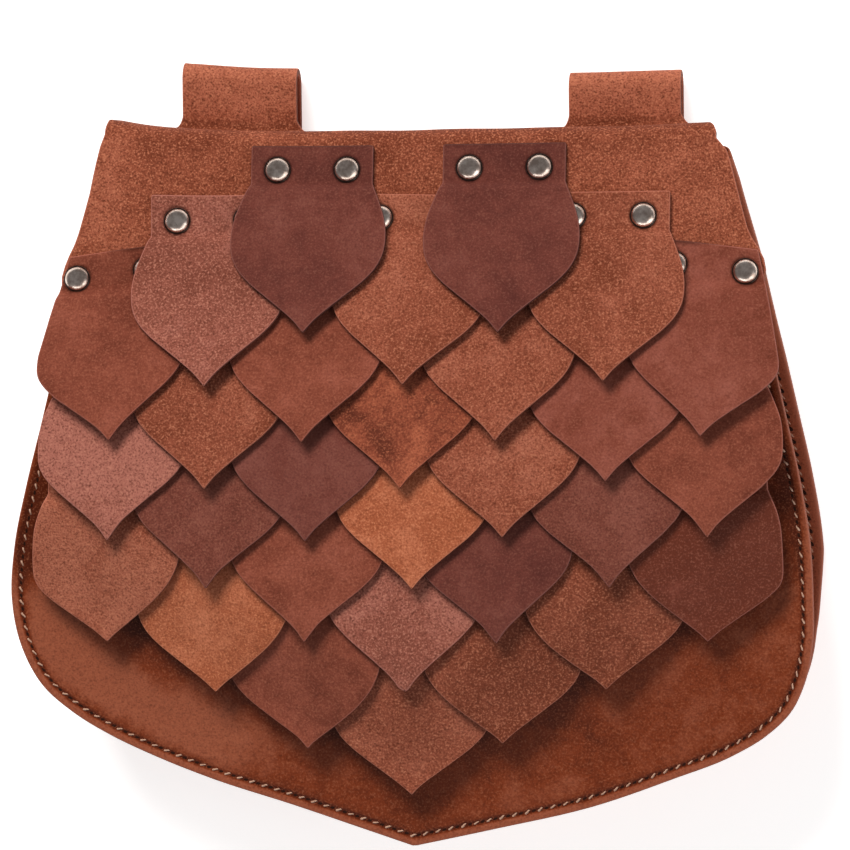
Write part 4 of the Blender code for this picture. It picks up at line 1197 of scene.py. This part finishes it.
def gusset():
    """The strip round both sides and the bottom, puckered where it turns the corners."""
    route, normals = seam_route(step=0.0016)
    along = lengths_along(route)
    turn = np.linalg.norm(np.gradient(normals, along, axis=0), axis=1)
    pucker = np.clip(turn / 20, 0, 1)
    stations = [(i, 0.0, 1.0) for i in range(len(route))]
    stations = [(0, 0.0004, 0.55), (0, 0.0002, 0.85)] + stations
    stations += [(len(route) - 1, 0.0002, 0.85), (len(route) - 1, 0.0004, 0.55)]
    points, cut = [], []
    for i, past, thick in stations:
        x, v = route[i]
        middle = gusset_section(v)
        share = (middle[:, 1] - middle[0, 1]) / (middle[-1, 1] - middle[0, 1])
        middle[:, 0] += 0.0011 * pucker[i] * np.sin(along[i] / 0.0017) * np.sin(math.pi * share) ** 2
        middle[:, 0] += 0.0007 * ripple(along[i], share * 0.03, 0.035, 31) * np.sin(math.pi * share)
        run = unit(np.gradient(middle, axis=0))
        across = np.stack([-run[:, 1], run[:, 0]], axis=1) * thick * WALL / 2
        ends = []
        for end, heading in ((-1, 1), (0, -1)):
            for ahead, side in ((0.45, 0.75), (0.5, 0.0), (0.45, -0.75)):
                side = side * heading
                ends.append(middle[end] + run[end] * heading * 0.001 * ahead + side * across[end])
        ring = np.concatenate([middle + across, ends[:3], (middle - across)[::-1], ends[3:]])
        place = np.array([x, v + past]) + ring[:, :1] * normals[i]
        points.append(on_bag(place[:, 0], place[:, 1], ring[:, 1]))
        count = len(middle)
        rim = np.zeros(len(ring))
        rim[count - 1:count + 4] = 1
        rim[-4:] = 1
        rim[0] = 1
        cut.append(np.maximum(rim, thick < 1))
    size = len(points[0])
    faces = []
    for i in range(len(points) - 1):
        for k in range(size):
            a, b = i * size + k, i * size + (k + 1) % size
            faces.append((a, b, b + size, a + size))
    last = (len(points) - 1) * size
    faces.append(tuple(range(size))[::-1])
    faces.append(tuple(range(last, last + size)))
    points = np.concatenate(points)
    piece = new_piece("leather_gusset", points, faces, [LEATHERS["body"]])
    flesh = np.tile(np.concatenate([np.zeros(count + 2), np.ones(count + 4)]), len(stations))
    note(piece, "cut_edge", 0.6 * np.concatenate(cut))
    note(piece, "flesh", 1 - flesh)
    # Painted light: the gusset lightened well past the body's dye, in place of light on its shaded flange
    # and wall.
    note(piece, "dye_depth_and_painted_light", np.full(len(points), 0.80))
    note(piece, "wear_and_painted_light", np.zeros(len(points)))
    note(piece, "painted_contact_shade", np.zeros(len(points)))
    note(piece, "hide", np.tile((0.31, 0.17, 0.53), (len(points), 1)), "FLOAT_VECTOR")
    wear_slot(piece, "body_leather", "gusset")


def flap_outline():
    """The flap's flat pattern with its belt loops, as (x, -s), from its lowest point."""
    turned = EDGE.length()
    tab = SCALE_EDGE[0][1] * SCALE_WIDTH / 2
    hidden = 3 * COLUMN_PITCH + tab - FLAP_GAP - SCALE_WALL
    line = [(0.0, -hem_s(0))]
    for side in (-1, 1):
        half = [(side * hidden, -hem_s(hidden))]
        half.append((side * hidden, -pattern_s(0.70 * BODY_HEIGHT)))
        for share in np.linspace(0.80, 0.96, 12):
            v = share * BODY_HEIGHT
            half.append((float(flap_edge_x(side, v)), -pattern_s(v)))
        top = float(flap_edge_x(side, BODY_HEIGHT))
        if side > 0:
            half.append((top, 0.0))
            half += [(top, 0.0022), (top - 0.0008, 0.0048), (top - FOLD_CLIP, 0.0090)]
        else:
            half += [(top - 0.0006, 0.0), (top - 0.0005, 0.002), (top - 0.0001, 0.005), (top, 0.0075)]
        half.append((top - side * max(FOLD_TAPER, (side > 0) * FOLD_CLIP), turned))
        line = line + half if side < 0 else line + loops_outline(turned) + half[::-1]
    return line


def loops_outline(edge_end):
    """Top of the flap's pattern from left to right: edge, slot, loop, slot, edge and so on."""
    line = []
    for name, centre, width, *_ in LOOPS:
        end = LOOP_PATHS[name].length()
        foot = PART_AT - WALL / 4
        for side in (-1, 1):
            out = centre + side * (width / 2 + LOOP_SLOT)
            slot = [(out, edge_end), (out, foot)]
            for t in np.linspace(0, 1, 12):
                flare = (FLARE_WIDTH if side < 0 else RIGHT_FLARE) * (1 - t) ** 1.6
                slot.append((centre + side * (width / 2 + flare), foot + FLARE_HEIGHT * t))
            slot.append((centre + side * width / 2, end))
            line += slot if side < 0 else slot[::-1]
    return line


def flap_form(x, y, h):
    """Place on the flap's sheet, which is a little uneven."""
    uneven = 0.00012 * ripple(x, y, 0.035, 41)
    place = on_flap(x, -y, h - WALL + uneven)
    for loop in LOOPS:
        name, centre, width, rise, _ = loop
        chosen = (y > PART_AT) & (np.abs(x - centre) < width / 2 + 0.8 * LOOP_SLOT)
        place[chosen] = on_loop(loop, x[chosen], -y[chosen], h[chosen] - WALL + uneven[chosen])
    return place


def flap_painted_light_and_pull_up(x, y):
    """Painted shade over the fold and in the creases behind it; up the loops, painted light above their
    shaded base and a little pull-up paleness at their tops.
    """
    # Painted shade over the fold.
    fold = -0.45 * np.exp(-(((y - 0.007) / 0.006) ** 2))
    # Painted shade in the creases behind the fold.
    crease = -0.35 * np.exp(-(((y - PART_AT - 0.0015) / 0.0018) ** 2))
    top = np.zeros_like(y)
    for name, centre, width, rise, _ in LOOPS:
        over = PART_AT + rise
        near = np.abs(x - centre) < width / 2 + LOOP_SLOT
        # Painted light: the loops paler above their shaded base.
        painted_light_band = 0.34 * smooth(y, PART_AT + 0.002, PART_AT + 0.006)
        top += near * (painted_light_band + 0.15 * np.exp(-(((y - over) / 0.008) ** 2)))
    return fold + crease + top


def loop_crease_shade(x, y):
    """Painted shade, with a little burnish: the dark line where each loop bends up from the fold."""
    near = sum(np.abs(x - centre) < width / 2 + 0.001 for _, centre, width, *_ in LOOPS)
    return 0.17 * near * np.exp(-(((y - PART_AT - 0.0028) / 0.0010) ** 2))


def flap():
    """Front, fold, turned-over edge and belt loops, cut in one piece."""
    outline = rounded(flap_outline(), 0.0016)
    longest = max(path.length() for path in LOOP_PATHS.values())
    levels = np.concatenate([
        np.arange(-hem_s(0.0), -0.002, 0.0018),
        np.arange(-0.0015, PART_AT + 0.012, 0.0007),
        np.arange(PART_AT + 0.0125, longest, 0.0010),
    ])
    piece = cut_leather(
        "leather_flap_with_loops", outline, flap_form, WALL, LEATHERS["flap"], 0.0018, levels,
        wear_and_painted_light=flap_painted_light_and_pull_up, painted_contact_shade=loop_crease_shade,
    )
    wear_slot(piece, "flap_leather", "flap_with_belt_loops")


def eased_min(a, b, run):
    """The smaller of two lengths, eased over a run where they cross."""
    share = min(max(0.5 + (b - a) / (2 * run), 0.0), 1.0)
    return b * (1 - share) + a * share - run * share * (1 - share)


def scale_outline(row, column, shift, turn, longer):
    """A scale's edge on the flap's pattern as (x, -s), trimmed where it passes the flap's side."""
    length = SCALE_LENGTH + longer
    angle = math.radians(turn)
    centre = (column - 3) * COLUMN_PITCH + shift
    half = through([(share * length, w * SCALE_WIDTH / 2) for share, w in SCALE_EDGE[1:]], 6)
    half = [(0.0, SCALE_EDGE[0][1] * SCALE_WIDTH / 2)] + [tuple(p) for p in half]
    line = []
    for along, out in half + [(b, -a) for b, a in half[-2::-1]]:
        down = along - RIVET_DROP
        x = centre + out * math.cos(angle) - down * math.sin(angle)
        s = ROW_TOPS[row] + RIVET_DROP + out * math.sin(angle) + down * math.cos(angle)
        if column in (0, 6):
            side = -1 if column < 3 else 1
            flap_reach = side * flap_edge_x(side, float(FRONT.at(max(s + row_sag(x), 0.0))[0]))
            trim = dict((r, trims[side > 0]) for r, *trims in OUTER_TRIM)[row]
            reach = min(flap_reach, side * centre + SCALE_WIDTH / 2) - trim
            x = side * eased_min(side * x, reach, 0.0016)
        line.append((float(x), -s))
    return line


def scale(row, column, dye, shift, turn, longer, dye_depth_and_painted_light):
    """One scale, flat under its rivets, stepping up over the next row and lifting at its tip."""
    top = ROW_TOPS[row]
    centre = (column - 3) * COLUMN_PITCH + shift
    seed = 100 * row + column
    dice = np.random.default_rng(seed)
    lift, roll, curl = dice.uniform(0.0, 0.0007), dice.uniform(-0.0003, 0.0003), dice.uniform(-1, 1)
    pins = rivet_places(row, column, shift, turn) if row in RIVETED_ROWS else []
    around = [
        (x + r * math.cos(a), -s + r * math.sin(a))
        for x, s in pins
        for r in (0.0034, 0.0038, 0.0041, 0.0044, 0.0048, 0.0058)
        for a in np.linspace(0, 2 * math.pi, 24, endpoint=False)
    ]

    def form(x, y, h):
        drop = -y - top
        free = smooth(drop, ROW_PITCH, 2.2 * ROW_PITCH)
        tip = smooth(drop, 0.62 * SCALE_LENGTH, SCALE_LENGTH)
        side = (x - centre) / (SCALE_WIDTH / 2)
        rise = 0.00014 * ripple(x, y, 0.028, seed) * free + lift * tip
        rise = rise + roll * side * free + 0.00018 * curl * side**2 * free
        for px, ps in pins:
            away = np.hypot(x - px, -y - ps)
            rise = rise - 0.00022 * np.exp(-(((away - CAP_RADIUS) / 0.0011) ** 2))
        return on_flap(x, row_sag(x) - y, layer_height(drop) + h + rise)

    def painted_contact_shade(x, y):
        """Painted shade: dark in a ring round each cap and along the top edge."""
        ring = 0.65 * smooth(-y - top, 0.0006, 0.0002) * (row != 2)
        for px, ps in pins:
            ring += 0.70 * np.exp(-(((np.hypot(x - px, -y - ps) - CAP_RADIUS - 0.0002) / 0.0004) ** 2))
        return ring

    outline = rounded(scale_outline(row, column, shift, turn, longer), 0.0007)
    levels = np.concatenate([
        np.arange(-top - SCALE_LENGTH - longer, -top - STEP_END - 0.002, 0.0016),
        np.arange(-top - STEP_END - 0.0018, -top - STEP_START + 0.002, 0.0006),
        np.arange(-top - STEP_START + 0.002, -top + 0.003, 0.0014),
    ])
    name = f"row{row:02d}_column{column}"
    piece = cut_leather(
        "leather_scale_" + name, outline, form, SCALE_WALL, LEATHERS[dye], 0.0016, levels, around,
        dye_depth_and_painted_light=dye_depth_and_painted_light, painted_contact_shade=painted_contact_shade,
    )
    wear_slot(piece, dye + "_leather", "scale_" + name)


def rivets():
    """All the caps, each seated on its scale."""
    points, normals, nodes = [], [], []
    for row, column, _, shift, turn, *_ in SCALES:
        if row not in RIVETED_ROWS:
            continue
        for side, (x, s) in zip(("left", "right"), rivet_places(row, column, shift, turn)):
            x, s = np.array([x]), np.array([s]) + row_sag(x)
            seat = on_flap(x, s, np.array([GAP + SCALE_WALL]))
            points.append(seat)
            normals.append(unit(seat - on_flap(x, s, np.array([0.0]))))
            nodes.append(f"rivet_row{row:02d}_column{column}_{side}")
    piece = made_by("rivet_caps", cap_tree(), list(zip(points, normals)))
    wear_slot(piece, "antique_steel", *nodes)


def seam_lines(margin, height, up):
    """A seam's stitching line at a margin inside the panel's edge: points and normals."""
    route, _ = seam_route(margin, 0.001)
    kept = route[route[:, 1] < MOUTH - 0.004]
    return on_bag(kept[:, 0], kept[:, 1], height(kept[:, 1])), np.tile((0.0, 0.0, up), (len(kept), 1))


def with_bends(line, normals):
    """The line's own normals, squared to the way it runs."""
    run = unit(np.gradient(line, axis=0))
    return line, unit(normals - (normals * run).sum(axis=1)[:, None] * run)


def sewing():
    """Both panels' seams, each seen from its two sides."""
    def inset(v):
        return np.full(len(v), -STITCH_INSET)

    def back_inset(v):
        return back_margin(v) - BACK_STITCH_INSET

    front = seam_lines(inset, lambda v: seam_z(v) + WALL - GROOVE_DEPTH, 1.0)
    behind = seam_lines(inset, lambda v: seam_z(v) - GAP - WALL, -1.0)
    rear = seam_lines(back_inset, lambda v: back_z(v) + GROOVE_DEPTH, -1.0)
    flange = seam_lines(back_inset, lambda v: back_z(v) + 2 * WALL + GAP, 1.0)
    buried = {"Length": 0.0016, "Thickness": 0.0006, "Rise": -0.0003}
    stitches, holes = stitch_tree(), hole_tree()
    lines = [with_bends(*line) for line in (front, behind, rear, flange)]
    for name, line in zip(("front_seam", "front_seam_inside", "back_seam", "back_seam_inside"), lines):
        sizes = buried if name == "back_seam_inside" else {}
        threads = made_by(name + "_stitches", stitches, [line], **sizes)
        slots = made_by(name + "_holes", holes, [line])
        for piece in (threads, slots):
            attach(piece, "root")


def strap_sewing():
    """A box of stitches on each strap's end, and a row along the turned-over edge."""
    lines = []
    low, high = (share * MOUTH for share in SEWN_STRAP)
    for name, centre, width, *_ in LOOPS:
        half = width / 2 - 0.0035
        box = [(-half, low + 0.003), (half, low + 0.003), (half, high - 0.001), (-half, high - 0.001)]
        box = np.array([(centre + x, v) for x, v in box + box[:1]])
        for a, b in zip(box[:-1], box[1:]):
            line = a + (b - a) * np.linspace(0, 1, 20)[:, None]
            lines.append((on_bag(line[:, 0], line[:, 1], 0.0001), np.tile((0.0, 0.0, -1.0), (20, 1))))
    v = BODY_HEIGHT - BACK_FOLD_RADIUS - TURN_OVER + 0.0035
    ends = [panel_edge_x(-1, v) + 0.006]
    for _, centre, width, *_ in LOOPS:
        ends += [centre - width / 2 - LOOP_SLOT - 0.002, centre + width / 2 + LOOP_SLOT + 0.002]
    ends.append(panel_edge_x(1, v) - 0.006)
    for left, right in zip(ends[::2], ends[1::2]):
        x = np.linspace(left, right, 30)
        lines.append((on_bag(x, v + end_rise(x), REAR_FACE_Z + 0.0001), np.tile((0.0, 0.0, -1.0), (30, 1))))
    for name, tree in (("strap_stitches", stitch_tree()), ("strap_holes", hole_tree())):
        piece = made_by(name, tree, lines)
        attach(piece, "root")


def floor():
    size = 3.0
    corners = [(x, y, FLOOR_Z) for x, y in ((-size, -size), (size, -size), (size, size), (-size, size))]
    new_piece("studio_floor", corners, [(0, 1, 2, 3)], [pale_floor()])


def soft_light(name, place, aim, size, power, tint=(1.0, 1.0, 1.0), mirrored=True, lit=True):
    lamp = bpy.data.lights.new(name, "AREA")
    lamp.shape = "RECTANGLE"
    lamp.size, lamp.size_y = size
    lamp.energy = power
    lamp.color = tint
    holder = bpy.data.objects.new(name, lamp)
    holder.location = place
    holder.visible_glossy = mirrored
    holder.visible_diffuse = lit
    holder.rotation_euler = (Vector(aim) - Vector(place)).to_track_quat("-Z", "Y").to_euler()
    bpy.context.scene.collection.objects.link(holder)


def lighting():
    aim = (0.0, 0.0, 0.02)
    soft_light("window", (-0.8, 2.3, 2.2), aim, (1.5, 1.0), 108.0, (1.0, 0.985, 0.96), mirrored=False)
    soft_light("side_panel", (1.6, -0.8, 1.2), aim, (1.6, 1.6), 17.0)
    soft_light("low_card", (-0.2, -1.6, 1.1), aim, (2.4, 1.0), 22.0, lit=False)
    world = bpy.data.worlds.new("studio")
    world.use_nodes = True
    shade = world.node_tree.nodes["Background"]
    shade.inputs["Color"].default_value = (0.93, 0.95, 1.0, 1.0)
    shade.inputs["Strength"].default_value = 0.20
    bpy.context.scene.world = world


def camera():
    """Where the photograph was taken from."""
    yaw, pitch, roll = (math.radians(a) for a in (CAMERA_YAW, CAMERA_PITCH, CAMERA_ROLL))
    back = Vector((
        math.sin(yaw) * math.cos(pitch), math.sin(pitch), math.cos(yaw) * math.cos(pitch),
    ))
    right = Vector((0, 1, 0)).cross(back).normalized()
    up = back.cross(right)
    right, up = (
        math.cos(roll) * right + math.sin(roll) * up,
        -math.sin(roll) * right + math.cos(roll) * up,
    )
    aim = Vector(CAMERA_TARGET) + CAMERA_OFFSET[0] * right + CAMERA_OFFSET[1] * up
    eye = bpy.data.cameras.new("camera")
    eye.lens = CAMERA_LENS
    eye.sensor_width = 36.0
    eye.clip_start, eye.clip_end = 0.05, 20.0
    holder = bpy.data.objects.new("camera", eye)
    turned = Matrix((right, up, back)).transposed().to_4x4()
    holder.matrix_world = Matrix.Translation(aim + CAMERA_DISTANCE * back) @ turned
    bpy.context.scene.collection.objects.link(holder)
    bpy.context.scene.camera = holder


camera()
floor()
lighting()
back_panel()
gusset()
front_panel()
flap()
for one in SCALES:
    scale(*one)
rivets()
sewing()
strap_sewing()
bpy.context.scene.view_settings.view_transform = "Standard"
